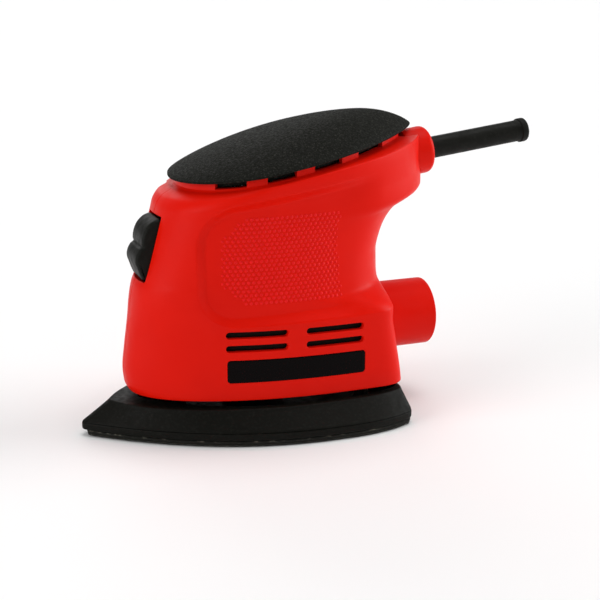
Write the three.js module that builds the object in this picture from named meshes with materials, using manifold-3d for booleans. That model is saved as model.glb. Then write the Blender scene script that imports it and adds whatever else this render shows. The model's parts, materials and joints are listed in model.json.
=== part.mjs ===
// Detail mouse sander with an iron-shaped orbiting platen.
// Millimetres, +Z up, +X to the rear, origin on the drive axis in the plane of the sanding face.

import * as THREE from 'three';
import { mergeVertices } from 'three/addons/utils/BufferGeometryUtils.js';
import Module from 'manifold-3d';

const wasm = await Module();
wasm.setup();

// ---------------------------------------------------------------- driving dimensions

const GAP = 0.3; // air between neighbouring parts
const HALF_TURN = Math.PI;
const FULL_TURN = 2 * Math.PI;

// body shell: horizontal sections at a level h, which lean back with the palm cover above TILT_START
const TILT_START = 40;
const COVER_SLOPE = 0.1613;
const COVER_LEVEL = 116.6;
const SHOULDER_LEVEL = 112.6;
const LEAN_RATE = COVER_SLOPE / (SHOULDER_LEVEL - TILT_START);
const WALL = 2.5;
const SEAM = 0.1;
const RING_POINTS = 36;

// grip recess in each side, between levels, with rounded front corners
const RECESS = { front: -33.2, low: 51.8, high: 107.3, corner: 17, depth: 3.4, slope: 5.4 };
const RECESS_FADE = { start: 26, run: 26 };

// palm cover
const COVER = { front: 36, rear: 77, half: 38.2, rise: 13.8, wall: 2.2, lip: 1.1, flange: 6 };
const COVER_SKIRT = { outer: 5.6, inner: 7.4, low: -2.5, high: 1.4 };
const DOME = { middle: 38, power: 2.1, fullness: 0.87, crown: 0.06 };
const NECK_INSET = 3;
const NECK_WALL = 2.2;
const INTAKE_LEVEL = 113.8;

// platen and its two pad layers
const PLATEN = { tip: -78.4, rear: 64, half: 45.8, widest: 30, bottom: 2.7, flangeTop: 6.2, rim: 15 };
const DECK_BOTTOM = 13.4;
const TIP = { radius: 2.5, padRadius: 6, angle: 0.744 };
const HOOK_TOP = 1.1;
const FOAM_TOP = 2.6;
const PLATE_FLOOR = 5.7;
const ORBIT = 1.0; // eccentricity of the platen bearing

// drive
const SHAFT_R = 3.9;
const BALL_BEARING = { outer: 11, inner: 4.05, width: 7 };
const TOP_BEARING = { outer: 9.5, inner: 3.55, width: 6 };
const STACK = { low: 51, high: 80 };
const STATOR_R = 25.5;
const YOKE_R = 22.5;
const BORE_R = 13.6;
const BRUSH_LEVEL = 93.5;

// switch, on the leaning front face
const SWITCH = { x: -48.05, z: 82.7, lean: Math.atan(0.303), half: 8.8, high: 14.6, pivot: -6 };
const SWITCH_ROOM = { half: 11.2, high: 15.9 };

// rear fittings
const PORT = { z: 40, outer: 15.6, bore: 13, start: 52.6, end: 86.2, flange: 18, flangeWidth: 1.9 };
const CORD = { x: 78, z: 116.3, tilt: THREE.MathUtils.degToRad(7) };
const COLLAR = { outer: 10.8, start: -5, end: 7.9 };
const CLAMP = { x: 56, z: 112.6 };
const SLEEVE = { outer: 5, lip: 5.6, bore: 3.5, start: -10, end: 60 };

// side openings, by their centres on a side
const SLOT = { length: 26.5, height: 2.6, centres: [-8.4, 26], levels: [47.9, 41.9] };
const PLATE = { front: -21.2, rear: 40.2, low: 26.6, high: 36.8, sink: 0.9 };
const SCREEN = { front: -24, rear: 41.4, low: 38.6, high: 50.8, outer: 3.2, inner: 4.4 };

// ---------------------------------------------------------------- materials

function finish(color, roughness, metalness = 0) {
  return new THREE.MeshStandardMaterial({ color, roughness, metalness });
}

const RED = finish(0xdf2412, 0.38);
const BLACK_PLASTIC = finish(0x20201e, 0.62);
const TEXTURED_BLACK = finish(0x2b2b28, 0.8);
const GLOSS_BLACK = finish(0x101010, 0.25);
const RUBBER = finish(0x161616, 0.85);
const FOAM = finish(0x2a2a29, 0.95);
const STEEL = finish(0xb4b7ba, 0.35, 1);
const LAMINATION = finish(0x6c6f72, 0.5, 1);
const COPPER = finish(0xb4683a, 0.4, 1);
const BRASS = finish(0xc2a14e, 0.35, 1);
const CARBON = finish(0x2c2c30, 0.6);
const FAN_PLASTIC = finish(0x26282a, 0.55);
const ZINC = finish(0x9ea2a6, 0.45, 1);
const YELLOW_CASE = finish(0xd8b23a, 0.45);
const BLUE_WIRE = finish(0x2f5fb0, 0.5);
const BROWN_WIRE = finish(0x6b4326, 0.5);

// ---------------------------------------------------------------- geometry helpers

// One closed surface: shared vertices merged, collapsed triangles dropped, faces pointing out.
function closed(geometry) {
  const bare = geometry.clone();
  bare.deleteAttribute('normal');
  bare.deleteAttribute('uv');
  const merged = mergeVertices(bare, 1e-4);
  const corner = merged.index.array;
  const position = merged.attributes.position;
  const kept = [];
  let volume = 0;
  const [a, b, c] = [new THREE.Vector3(), new THREE.Vector3(), new THREE.Vector3()];
  for (let i = 0; i < corner.length; i += 3) {
    const [i0, i1, i2] = corner.slice(i, i + 3);
    if (i0 === i1 || i1 === i2 || i2 === i0) continue;
    kept.push([i0, i1, i2]);
    a.fromBufferAttribute(position, i0);
    b.fromBufferAttribute(position, i1);
    c.fromBufferAttribute(position, i2);
    volume += a.dot(b.cross(c));
  }
  merged.setIndex(kept.flatMap(([i0, i1, i2]) => (volume > 0 ? [i0, i1, i2] : [i0, i2, i1])));
  return merged;
}

function solid(geometry) {
  const shell = closed(geometry);
  const vertProperties = new Float32Array(shell.attributes.position.array);
  const triVerts = new Uint32Array(shell.index.array);
  return new wasm.Manifold(new wasm.Mesh({ numProp: 3, vertProperties, triVerts }));
}

function geometryOf(manifold) {
  const mesh = manifold.getMesh();
  const geometry = new THREE.BufferGeometry();
  geometry.setAttribute('position', new THREE.BufferAttribute(new Float32Array(mesh.vertProperties), 3));
  geometry.setIndex(Array.from(mesh.triVerts));
  return geometry;
}

function joined(...geometries) {
  return geometries.map(solid).reduce((whole, piece) => whole.add(piece));
}

// Profile points [radius, z], turned about Z; the profile closes on itself or ends on the axis.
function turned(profile, segments = 24) {
  const points = profile.map(([r, z]) => new THREE.Vector2(r, z));
  return new THREE.LatheGeometry(points, segments).rotateX(HALF_TURN / 2);
}

function ringProfile(inner, outer, low, high) {
  return [[inner, low], [outer, low], [outer, high], [inner, high], [inner, low]];
}

function disc(radius, low, high, segments = 24) {
  return turned([[0, low], [radius, low], [radius, high], [0, high]], segments);
}

function tube(inner, outer, low, high, segments = 24) {
  return turned(ringProfile(inner, outer, low, high), segments);
}

function box(x0, x1, y0, y1, z0, z1) {
  const geometry = new THREE.BoxGeometry(x1 - x0, y1 - y0, z1 - z0);
  return geometry.translate((x0 + x1) / 2, (y0 + y1) / 2, (z0 + z1) / 2);
}

// A flat outline in XY, raised from low to high.
function raised(outline, low, high) {
  const shape = Array.isArray(outline) ? new THREE.Shape(outline) : outline;
  const options = { depth: high - low, bevelEnabled: false, curveSegments: 8 };
  return new THREE.ExtrudeGeometry(shape, options).translate(0, 0, low);
}

// Skin through rings of equal length. Capped at both ends, or closed from the last ring to the first.
function loft(rings, capped = true) {
  const count = rings[0].length;
  const points = rings.flat();
  const triangles = [];
  const bands = capped ? rings.length - 1 : rings.length;
  for (let band = 0; band < bands; band += 1) {
    const low = band * count;
    const high = ((band + 1) % rings.length) * count;
    for (let i = 0; i < count; i += 1) {
      const next = (i + 1) % count;
      triangles.push(low + i, low + next, high + next, low + i, high + next, high + i);
    }
  }
  if (capped) {
    for (const [ring, side] of [[0, 1], [rings.length - 1, -1]]) {
      const middle = new THREE.Vector3();
      rings[ring].forEach((point) => middle.addScaledVector(point, 1 / count));
      points.push(middle);
      for (let i = 0; i < count; i += 1) {
        const edge = [ring * count + ((i + 1) % count), ring * count + i];
        triangles.push(points.length - 1, ...(side > 0 ? edge : edge.reverse()));
      }
    }
  }
  const geometry = new THREE.BufferGeometry().setFromPoints(points);
  geometry.setIndex(triangles);
  return closed(geometry);
}

// A smooth run through knots [at, value], flat where the values turn round.
function smoothRun(knots) {
  const slopes = knots.slice(1).map(([at, value], i) => (value - knots[i][1]) / (at - knots[i][0]));
  const tangent = knots.map((_, i) => {
    if (i === 0) return slopes[0];
    if (i === knots.length - 1) return slopes[i - 1];
    const product = slopes[i - 1] * slopes[i];
    return product <= 0 ? 0 : (2 * product) / (slopes[i - 1] + slopes[i]);
  });
  return (at) => {
    if (at <= knots[0][0]) return knots[0][1];
    if (at >= knots[knots.length - 1][0]) return knots[knots.length - 1][1];
    const i = knots.findIndex(([edge]) => edge >= at) - 1;
    const span = knots[i + 1][0] - knots[i][0];
    const s = (at - knots[i][0]) / span;
    const start = knots[i][1] * (1 + 2 * s) * (1 - s) ** 2 + tangent[i] * span * s * (1 - s) ** 2;
    const end = knots[i + 1][1] * s * s * (3 - 2 * s) - tangent[i + 1] * span * s * s * (1 - s);
    return start + end;
  };
}

function clamp01(value) {
  return Math.min(1, Math.max(0, value));
}

// ---------------------------------------------------------------- body surface

const bodyFront = smoothRun([[18, -56.6], [22, -58.5], [28, -59.1], [39, -57.9], [51.6, -56.3], [63.6, -54.9],
  [69.5, -53.7], [73, -52.3], [102.5, -43.9], [107, -42.6], [110.5, -40.2], [112.4, -36.4], [113, -35]]);
const bodyRear = smoothRun([[18, 63.4], [26, 61.9], [40, 59.2], [48, 57.8], [52, 58.2], [58.5, 58.9],
  [64, 58.3], [72, 58.2], [78.6, 60], [83, 62.5], [87.3, 66.9], [89.5, 71], [91, 76.5], [92.3, 80.2],
  [94, 81.8], [97, 82], [104, 81.4], [112, 80.6], [113, 80]]);
const bodyHalfWidth = smoothRun([[18, 36], [26, 36.9], [51.6, 36.9], [75, 36.4], [100, 37], [110, 38],
  [112.2, 37.9], [113, 36.6]]);
const bodyWidest = smoothRun([[18, 33], [48, 31], [62, 12], [80, 6], [100, 2], [113, 0]]);
const frontPower = smoothRun([[18, 2.05], [60, 2.1], [106, 2.25], [110, 2.1], [113, 1.7]]);
const SQUARE_REAR = 6;
const ROUND_REAR = 2.1;
const TAIL = { along: 2.5, across: 1.6, start: 80, run: 20 };
const LEDGE_HEIGHT = 9;

// The squared rear of the lower body turns into the round waist over a short ledge.
function rearPower(h, tailPower) {
  const t = clamp01((h - RECESS.low) / LEDGE_HEIGHT);
  const waist = SQUARE_REAR + (ROUND_REAR - SQUARE_REAR) * (1 - (1 - t) ** 2);
  return waist + (tailPower - ROUND_REAR) * clamp01((h - TAIL.start) / TAIL.run);
}

// Rise of the section at level h per millimetre towards the rear.
function lean(h) {
  return LEAN_RATE * Math.max(0, h - TILT_START);
}

function levelOf(x, z) {
  return z <= TILT_START ? z : (z + TILT_START * LEAN_RATE * x) / (1 + LEAN_RATE * x);
}

function recessDepth(x, h) {
  const middle = (RECESS.low + RECESS.high) / 2;
  const inX = x - RECESS.front - RECESS.corner;
  const inH = (RECESS.high - RECESS.low) / 2 - Math.abs(h - middle) - RECESS.corner;
  const outside = Math.hypot(Math.min(0, inX), Math.min(0, inH));
  const depthIn = RECESS.corner - outside + Math.max(0, Math.min(inX, inH));
  const wall = 1 - (1 - clamp01(depthIn / RECESS.slope)) ** 2;
  const fade = clamp01((x - RECESS_FADE.start) / RECESS_FADE.run);
  return RECESS.depth * wall * (1 - fade * fade * (3 - 2 * fade));
}

// Half the body's width at x on level h.
function bodySide(x, h) {
  const centre = bodyWidest(h);
  const front = x < centre;
  const reach = front ? centre - bodyFront(h) : bodyRear(h) - centre;
  const along = front ? frontPower(h) : rearPower(h, TAIL.along);
  const across = front ? frontPower(h) : rearPower(h, TAIL.across);
  const fraction = clamp01(Math.abs(x - centre) / reach);
  return bodyHalfWidth(h) * (1 - fraction ** along) ** (1 / across);
}

function bodyRing(h, inset = 0) {
  const flat = [];
  for (let i = 0; i < RING_POINTS; i += 1) {
    const angle = (FULL_TURN * i) / RING_POINTS;
    const [c, s] = [Math.cos(angle), Math.sin(angle)];
    const centre = bodyWidest(h);
    const front = c < 0;
    const reach = front ? centre - bodyFront(h) : bodyRear(h) - centre;
    const along = front ? frontPower(h) : rearPower(h, TAIL.along);
    const across = front ? frontPower(h) : rearPower(h, TAIL.across);
    const x = centre + Math.sign(c) * reach * Math.abs(c) ** (2 / along);
    const half = bodyHalfWidth(h) * Math.abs(s) ** (2 / across);
    const y = Math.sign(s) * Math.max(0, half - recessDepth(x, h) * Math.abs(s));
    flat.push(new THREE.Vector2(x, y));
  }
  return insetOutline(flat, inset).map(({ x, y }) => new THREE.Vector3(x, y, h + lean(h) * x));
}

// Moves each point of a counter-clockwise outline inwards along its own normal.
function insetOutline(outline, inset) {
  return outline.map((point, i) => {
    const before = outline[(i + outline.length - 1) % outline.length];
    const after = outline[(i + 1) % outline.length];
    const along = after.clone().sub(before).normalize();
    return new THREE.Vector2(point.x - along.y * inset, point.y + along.x * inset);
  });
}

// ---------------------------------------------------------------- palm cover

const EGG = { frontPower: 1.95, rearPower: 2.05, bluntness: 0.31, rearInset: 1.6 };

// Share of the cover's half width at a share of its reach; the blunt rear ends in a small round tip.
function eggHalf(fraction, front) {
  if (front) return (1 - fraction ** EGG.frontPower) ** (1 / EGG.frontPower);
  const s = Math.sqrt(1 - fraction ** EGG.rearPower);
  return (1 - EGG.bluntness) * s * s + EGG.bluntness * s;
}

function eggReach(front, inset) {
  return front ? COVER.front - inset : COVER.rear - EGG.rearInset * inset;
}

// Egg-shaped ring on the leaning rim plane, raised by height and drawn in about its middle by scale.
function coverRing(inset, height, scale = 1) {
  const points = [];
  for (let i = 0; i < RING_POINTS; i += 1) {
    const angle = (FULL_TURN * i) / RING_POINTS;
    const front = Math.cos(angle) < 0;
    const fraction = Math.abs(Math.cos(angle)) ** (2 / (front ? EGG.frontPower : EGG.rearPower));
    const x = Math.sign(Math.cos(angle)) * eggReach(front, inset) * fraction;
    const y = Math.sign(Math.sin(angle)) * (COVER.half - inset) * eggHalf(fraction, front);
    const drawn = DOME.middle + (x - DOME.middle) * scale;
    points.push(new THREE.Vector3(drawn, y * scale, COVER_LEVEL + COVER_SLOPE * drawn + height));
  }
  return points;
}

function domeHeight(rise, scale) {
  return COVER.lip + (rise - COVER.lip) * (1 - scale ** DOME.power) ** DOME.fullness;
}

function palmCover() {
  const rings = [coverRing(COVER.flange, 0), coverRing(0.5, 0), coverRing(0, 0.5), coverRing(0, COVER.lip)];
  for (const scale of [0.95, 0.86, 0.7, 0.5, 0.28]) {
    rings.push(coverRing(0, domeHeight(COVER.rise, scale), scale));
  }
  rings.push(coverRing(0, COVER.rise, DOME.crown));
  const hollow = [coverRing(COVER.flange, -1)];
  for (const scale of [1, 0.86, 0.62, 0.35]) {
    hollow.push(coverRing(COVER.flange, domeHeight(COVER.rise - COVER.wall, scale), scale));
  }
  const { outer, inner, low, high } = COVER_SKIRT;
  const skirt = solid(loft([coverRing(outer, low), coverRing(outer, high)]));
  const skirtRoom = solid(loft([coverRing(inner, low - 1), coverRing(inner, high + 1)]));
  return geometryOf(solid(loft(rings)).subtract(solid(loft(hollow))).add(skirt.subtract(skirtRoom)));
}

// ---------------------------------------------------------------- body halves

// Strip that follows the left side, between two offsets from the surface.
function sideStrip(front, rear, low, high, inner, outer) {
  const rings = [];
  const steps = 10;
  for (let i = 0; i <= steps; i += 1) {
    const x = front + ((rear - front) * i) / steps;
    const at = (z, offset) => new THREE.Vector3(x, -bodySide(x, levelOf(x, z)) - offset, z);
    rings.push([at(low, inner), at(high, inner), at(high, outer), at(low, outer)]);
  }
  return loft(rings);
}

function slotCutter(x, z) {
  const shape = new THREE.Shape();
  const radius = SLOT.height / 2;
  const straight = SLOT.length / 2 - radius;
  shape.absarc(straight, 0, radius, -HALF_TURN / 2, HALF_TURN / 2);
  shape.absarc(-straight, 0, radius, HALF_TURN / 2, 1.5 * HALF_TURN);
  const depth = 22;
  const cutter = new THREE.ExtrudeGeometry(shape, { depth, bevelEnabled: false, curveSegments: 3 });
  return cutter.rotateX(HALF_TURN / 2).translate(x, -20, z);
}

// Air gaps between the tabs that carry the palm cover: [front x, rear x] along each side.
const INTAKES = [[-23.8, -12.8], [-4.6, 8.3], [16.8, 30.8], [40, 55.4]];

function neckHalf(x) {
  return (COVER.half - NECK_INSET) * eggHalf(clamp01(Math.abs(x) / eggReach(x < 0, NECK_INSET)), x < 0);
}

function intakeCutter([front, rear]) {
  const start = new THREE.Vector2(front, -neckHalf(front));
  const end = new THREE.Vector2(rear, -neckHalf(rear));
  const width = start.distanceTo(end);
  const middle = start.clone().add(end).multiplyScalar(0.5);
  const cutter = new THREE.BoxGeometry(width, 10, 4);
  cutter.rotateZ(end.clone().sub(start).angle());
  return leaned(cutter.translate(middle.x, middle.y, INTAKE_LEVEL + 2));
}

// Leans a shape back with the palm cover.
function leaned(geometry) {
  const shear = new THREE.Matrix4().makeShear(0, COVER_SLOPE, 0, 0, 0, 0);
  return geometry.applyMatrix4(shear);
}

const LEVELS = [18, 21, 30, 51.6, 54, 58, 64, 74, 84, 89.5, 92.5, 97, 106.5, 110, 111.9, SHOULDER_LEVEL];

function outerRings(inset) {
  return LEVELS.map((h) => bodyRing(h, inset));
}

function bodyShell() {
  const outside = outerRings(0);
  const neck = [coverRing(NECK_INSET, -2.9), coverRing(NECK_INSET, -0.4)];
  const neckInside = [coverRing(NECK_INSET + NECK_WALL, -0.4), coverRing(NECK_INSET + NECK_WALL, -6.2)];
  const inside = outerRings(WALL).slice(0, -3).reverse();
  return solid(loft([...outside, ...neck, ...neckInside, ...inside], false));
}

// Frame of the leaning front face: u out of the face, v up along it.
function onSwitchFace(geometry) {
  return geometry.rotateY(SWITCH.lean).translate(SWITCH.x, 0, SWITCH.z);
}

function switchBox(uIn, uOut, halfY, halfV) {
  return onSwitchFace(box(-uOut, -uIn, -halfY, halfY, -halfV, halfV));
}

// Frame of the cord exit: +Z of the geometry runs out along the cord.
function onCordAxis(geometry) {
  return geometry.rotateY(HALF_TURN / 2 - CORD.tilt).translate(CORD.x, 0, CORD.z);
}

function alongX(geometry, z) {
  return geometry.rotateY(HALF_TURN / 2).translate(0, 0, z);
}

const BOSS_R = 5;
const BODY_SCREWS = [[-46, 33], [-40, 60], [47.5, 63], [47, 33], [-33, 103], [61, 104]];

function across(geometry, x, z) {
  return geometry.rotateX(-HALF_TURN / 2).translate(x, 0, z);
}

function housingHalf(side) {
  const outline = solid(loft(outerRings(WALL / 2)));
  const ribs = joined(
    box(-16, 16, -45, 45, 64, 66.5),
    box(-14, 14, -45, 45, 101, 104),
    box(-16, 16, -45, 45, 35.6, SCREEN.low - GAP),
  );
  const webs = joined(box(-62, -29, -45, 45, 18.8, 21.6), box(34, 66, -45, 45, 18.8, 21.6));
  const motorRoom = joined(disc(STATOR_R + 0.6, 46, 90), box(-30, 30, -29, 29, 25, 37));
  const driveRoom = joined(disc(29.4, 22, 52, 24), disc(12.5, 98, 108, 16));
  let inner = ribs.subtract(motorRoom).subtract(driveRoom).add(webs);
  for (const [x, z] of BODY_SCREWS) inner = inner.add(solid(across(disc(BOSS_R, -40, 40, 10), x, z)));
  let shelf = solid(box(50, 62, -45, 45, 107.5, CLAMP.z - GAP));
  shelf = shelf.subtract(solid(onCordAxis(disc(3.6, -60, 0, 10))));
  for (const y of [-7.6, 7.6]) shelf = shelf.subtract(solid(disc(1.6, 90, 120, 8).translate(CLAMP.x, y, 0)));
  inner = inner.add(shelf).intersect(outline);

  let body = bodyShell().add(inner);
  for (const [x, z] of BODY_SCREWS) {
    body = body.subtract(solid(across(disc(1.8, -12, 40, 8), x, z)));
    body = body.subtract(solid(across(disc(3.4, 8, 48, 12), x, z)));
  }
  body = body.subtract(solid(switchBox(-16, 14, SWITCH.half + GAP, SWITCH.high)));
  const frameRoom = solid(switchBox(-16, -1, SWITCH_ROOM.half, SWITCH_ROOM.high));
  body = body.subtract(frameRoom.intersect(solid(loft(outerRings(WALL)))));
  body = body.subtract(solid(alongX(disc(PORT.outer + 0.5, 50, 90, 32), PORT.z)));
  body = body.subtract(solid(onCordAxis(disc(COLLAR.outer + 0.4, -12, 20, 28))));
  for (const intake of INTAKES) {
    const cutter = intakeCutter(intake);
    body = body.subtract(solid(cutter));
    body = body.subtract(solid(cutter.clone().scale(1, -1, 1)));
  }
  body = body.subtract(solid(leaned(box(69, 76, -20, 20, INTAKE_LEVEL, INTAKE_LEVEL + 4))));
  for (const x of SLOT.centres) {
    for (const z of SLOT.levels) {
      body = body.subtract(solid(slotCutter(x, z)));
      body = body.subtract(solid(slotCutter(x, z).scale(1, -1, 1)));
    }
  }
  const pocket = sideStrip(PLATE.front, PLATE.rear, PLATE.low, PLATE.high, -PLATE.sink, 2);
  body = body.subtract(solid(pocket));
  body = body.subtract(solid(pocket.clone().scale(1, -1, 1)));
  const keep = side < 0 ? box(-70, 95, -50, -SEAM, 0, 150) : box(-70, 95, SEAM, 50, 0, 150);
  return geometryOf(body.intersect(solid(keep)));
}

// ---------------------------------------------------------------- platen

const REAR_SPAN = 72;
const REAR_CORNER = 6;
const REAR_BULGE = 1.5;
const CORNER_ANGLE = 1.18;

// The rounded tip: where the two front sides would meet, and the circle between them.
const FRONT_POINT = PLATEN.tip - TIP.radius * (1 / Math.sin(TIP.angle) - 1);

function tipCentre(radius) {
  return FRONT_POINT + radius / Math.sin(TIP.angle);
}

function flangeHalf(x, radius) {
  const centre = tipCentre(radius);
  if (x <= centre - radius * Math.sin(TIP.angle)) {
    return Math.sqrt(Math.max(0, radius ** 2 - (x - centre) ** 2));
  }
  if (x <= PLATEN.widest) {
    return PLATEN.half * (1 - ((PLATEN.widest - x) / (PLATEN.widest - FRONT_POINT)) ** 2.2);
  }
  return PLATEN.half * (1 - ((x - PLATEN.widest) / REAR_SPAN) ** 2.44);
}

// Iron-shaped outline, counter-clockwise from the tip along the left side.
function platenOutline(radius = TIP.radius) {
  const side = [];
  const steps = 14;
  const tip = tipCentre(radius) - radius;
  const cornerStart = PLATEN.rear - REAR_CORNER + 2.3;
  for (let i = 1; i <= steps; i += 1) {
    const x = tip + (cornerStart - tip) * (i / steps) ** 1.6;
    side.push([x, flangeHalf(x, radius)]);
  }
  const centreX = PLATEN.rear - REAR_CORNER;
  const centreY = side[side.length - 1][1] - REAR_CORNER * Math.sin(CORNER_ANGLE);
  for (const angle of [0.8, 0.4, 0]) {
    side.push([centreX + REAR_CORNER * Math.cos(angle), centreY + REAR_CORNER * Math.sin(angle)]);
  }
  for (const y of [24, 12]) side.push([PLATEN.rear + REAR_BULGE * (1 - (y / 36) ** 2), y]);
  const left = side.map(([x, y]) => new THREE.Vector2(x, -y));
  const right = side.map(([x, y]) => new THREE.Vector2(x, y)).reverse();
  return [new THREE.Vector2(tip, 0), ...left, new THREE.Vector2(PLATEN.rear + REAR_BULGE, 0), ...right];
}

function platenRing(z, inset) {
  return insetOutline(platenOutline(), inset).map(({ x, y }) => new THREE.Vector3(x, y, z));
}

// The pad layers have a rounder tip than the plate above them.
function padRing(z, inset) {
  return insetOutline(platenOutline(TIP.padRadius), inset).map(({ x, y }) => new THREE.Vector3(x, y, z));
}

function alongPlaten(x) {
  return (x - PLATEN.tip) / (PLATEN.rear - PLATEN.tip);
}

// How the rim of the skirt is drawn in from the flange: at the tip, at the rear and at the sides.
const RIM = { tip: 12.5, rear: 2.5, side: 0.821, front: 0.12 };

// Ring between the flange outline and the rim below the body.
function skirtRing(z, blend, inset = 0) {
  const ring = platenOutline().map(({ x, y }) => {
    const along = alongPlaten(x);
    const rimX = x + RIM.tip * (1 - along) ** 6 - RIM.rear * Math.max(0, along) ** 8;
    const rimY = y * (RIM.side + RIM.front * (1 - along) ** 3);
    return new THREE.Vector2(x + (rimX - x) * blend, y + (rimY - y) * blend);
  });
  return insetOutline(ring, inset).map(({ x, y }) => new THREE.Vector3(x, y, z));
}

// Opening in the deck, hidden under the body.
const DECK_OPENING = { tip: -53, rear: 60, side: 0.742, front: 0.37 };

function deckRing(z) {
  return platenOutline().map(({ x, y }) => {
    const along = alongPlaten(x);
    const openX = DECK_OPENING.tip + along * (DECK_OPENING.rear - DECK_OPENING.tip);
    const openY = y * (DECK_OPENING.side + DECK_OPENING.front * (1 - along) ** 3);
    return new THREE.Vector3(openX, openY, z);
  });
}

const POSTS = [[-37, -9.5], [-37, 9.5], [45, -23], [45, 23]];

function basePlate() {
  const rings = [
    platenRing(PLATEN.bottom, 0.8),
    platenRing(PLATEN.bottom + 0.6, 0),
    platenRing(PLATEN.flangeTop, 0),
    skirtRing(9.2, 0.36),
    skirtRing(12.3, 0.72),
    skirtRing(PLATEN.rim, 1, 0.3),
    deckRing(PLATEN.rim),
    deckRing(DECK_BOTTOM),
    skirtRing(DECK_BOTTOM, 0.83, 2.2),
    skirtRing(PLATE_FLOOR, 0.25, 3.2),
  ];
  let plate = solid(loft(rings));
  const hub = tube(BALL_BEARING.outer + 0.2, BALL_BEARING.outer + 3, PLATE_FLOOR - 0.2, 13.4, 28);
  plate = plate.add(solid(hub.translate(ORBIT, 0, 0)));
  const screwRoom = [[0, 2], [3.7, 2], [3.7, 4.2], [2, 4.8], [2, 9], [0, 9]];
  for (const [x, y] of POSTS) {
    const seat = tube(4.6, 6.2, PLATE_FLOOR - 0.2, 8, 12).translate(x, y, 0);
    plate = plate.add(solid(seat));
    plate = plate.subtract(solid(turned(screwRoom, 8).translate(x, y, 0)));
  }
  plate = plate.subtract(solid(disc(6, 2, 7, 16).translate(ORBIT, 0, 0)));
  return geometryOf(plate);
}

// ---------------------------------------------------------------- motor

function gearOutline(outer, inner, count, share) {
  const points = [];
  for (let i = 0; i < count; i += 1) {
    const start = (FULL_TURN * i) / count;
    const step = FULL_TURN / count;
    for (const [radius, at] of [[outer, 0], [outer, share], [inner, share], [inner, 1]]) {
      const angle = start + step * at;
      points.push(new THREE.Vector2(radius * Math.cos(angle), radius * Math.sin(angle)));
    }
  }
  return points;
}

function statorCore() {
  const { low, high } = STACK;
  let core = solid(tube(YOKE_R, STATOR_R, low, high, 28));
  for (const side of [-1, 1]) {
    const pole = solid(tube(BORE_R, BORE_R + 2.3, low, high, 32))
      .intersect(solid(box(-10.6, 10.6, side < 0 ? -20 : 5, side < 0 ? -5 : 20, low, high)));
    const y0 = side < 0 ? -YOKE_R - 1 : BORE_R + 1;
    core = core.add(pole).add(solid(box(-6, 6, y0, y0 + YOKE_R - BORE_R, low, high)));
  }
  return geometryOf(core);
}

// Racetrack coil round one pole, lying across Y.
function fieldCoil(side) {
  const shape = new THREE.Shape();
  const loop = (path, halfX, halfZ, radius) => {
    path.moveTo(halfX, -halfZ + radius);
    path.absarc(halfX - radius, halfZ - radius, radius, 0, HALF_TURN / 2);
    path.absarc(-halfX + radius, halfZ - radius, radius, HALF_TURN / 2, HALF_TURN);
    path.absarc(-halfX + radius, -halfZ + radius, radius, HALF_TURN, 1.5 * HALF_TURN);
    path.absarc(halfX - radius, -halfZ + radius, radius, 1.5 * HALF_TURN, FULL_TURN);
  };
  const stackHalf = (STACK.high - STACK.low) / 2;
  loop(shape, 11, stackHalf + 5, 4);
  const hole = new THREE.Path();
  loop(hole, 6.3, stackHalf + GAP, 1);
  shape.holes.push(hole);
  const coil = new THREE.ExtrudeGeometry(shape, { depth: 2.9, bevelEnabled: false, curveSegments: 2 });
  coil.rotateX(HALF_TURN / 2).translate(0, 1.45, (STACK.low + STACK.high) / 2);
  return coil.translate(0, side * 17.75, 0);
}

const ARMATURE_SLOTS = 8;

function armatureSlots(radius, reach) {
  const bars = [];
  for (let i = 0; i < ARMATURE_SLOTS; i += 1) {
    const bar = disc(radius, STACK.low - reach, STACK.high + reach, 4);
    bars.push(bar.translate(9.6, 0, 0).rotateZ((FULL_TURN * i) / ARMATURE_SLOTS));
  }
  return bars;
}

function armatureCore() {
  let core = solid(tube(SHAFT_R + 0.15, 12.9, STACK.low + 1, STACK.high - 1, 24));
  for (let i = 0; i < ARMATURE_SLOTS; i += 1) {
    const opening = box(9, 14, -0.5, 0.5, STACK.low, STACK.high).rotateZ((FULL_TURN * i) / ARMATURE_SLOTS);
    core = core.subtract(solid(opening));
  }
  for (const slot of armatureSlots(1.7, 1)) core = core.subtract(solid(slot));
  return geometryOf(core);
}

function armatureWinding() {
  const end = (low, high) => turned([[5, low], [10.6, low], [11.8, low + 1.4], [11.8, high - 1.4],
    [10.6, high], [5, high], [5, low]], 16);
  let winding = joined(end(STACK.low - 4.4, STACK.low + 0.7), end(STACK.high - 0.7, STACK.high + 4.2));
  for (const bar of armatureSlots(1.4, -0.5)) winding = winding.add(solid(bar));
  return geometryOf(winding);
}

function commutator() {
  const body = solid(raised(gearOutline(9, 8.4, 16, 0.86), 89.2, 98));
  return geometryOf(body.subtract(solid(disc(SHAFT_R + 0.15, 80, 110, 24))));
}

function rotorShaft() {
  const profile = [[0, 14.2], [SHAFT_R, 14.2], [SHAFT_R, 99.6], [3.4, 99.9], [3.4, 107.4], [2.8, 108],
    [0, 108]];
  return turned(profile, 20);
}

function coolingFan() {
  let fan = joined(disc(26.5, 20, 21.6, 32), disc(8, 21, 33.5, 16));
  const blades = 7;
  for (let i = 0; i < blades; i += 1) {
    const blade = box(7, 25.8, -0.8, 0.8, 21, 33).rotateZ((FULL_TURN * i) / blades);
    fan = fan.add(solid(blade));
  }
  return geometryOf(fan.subtract(solid(disc(SHAFT_R + 0.15, 10, 40, 24))));
}

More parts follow.
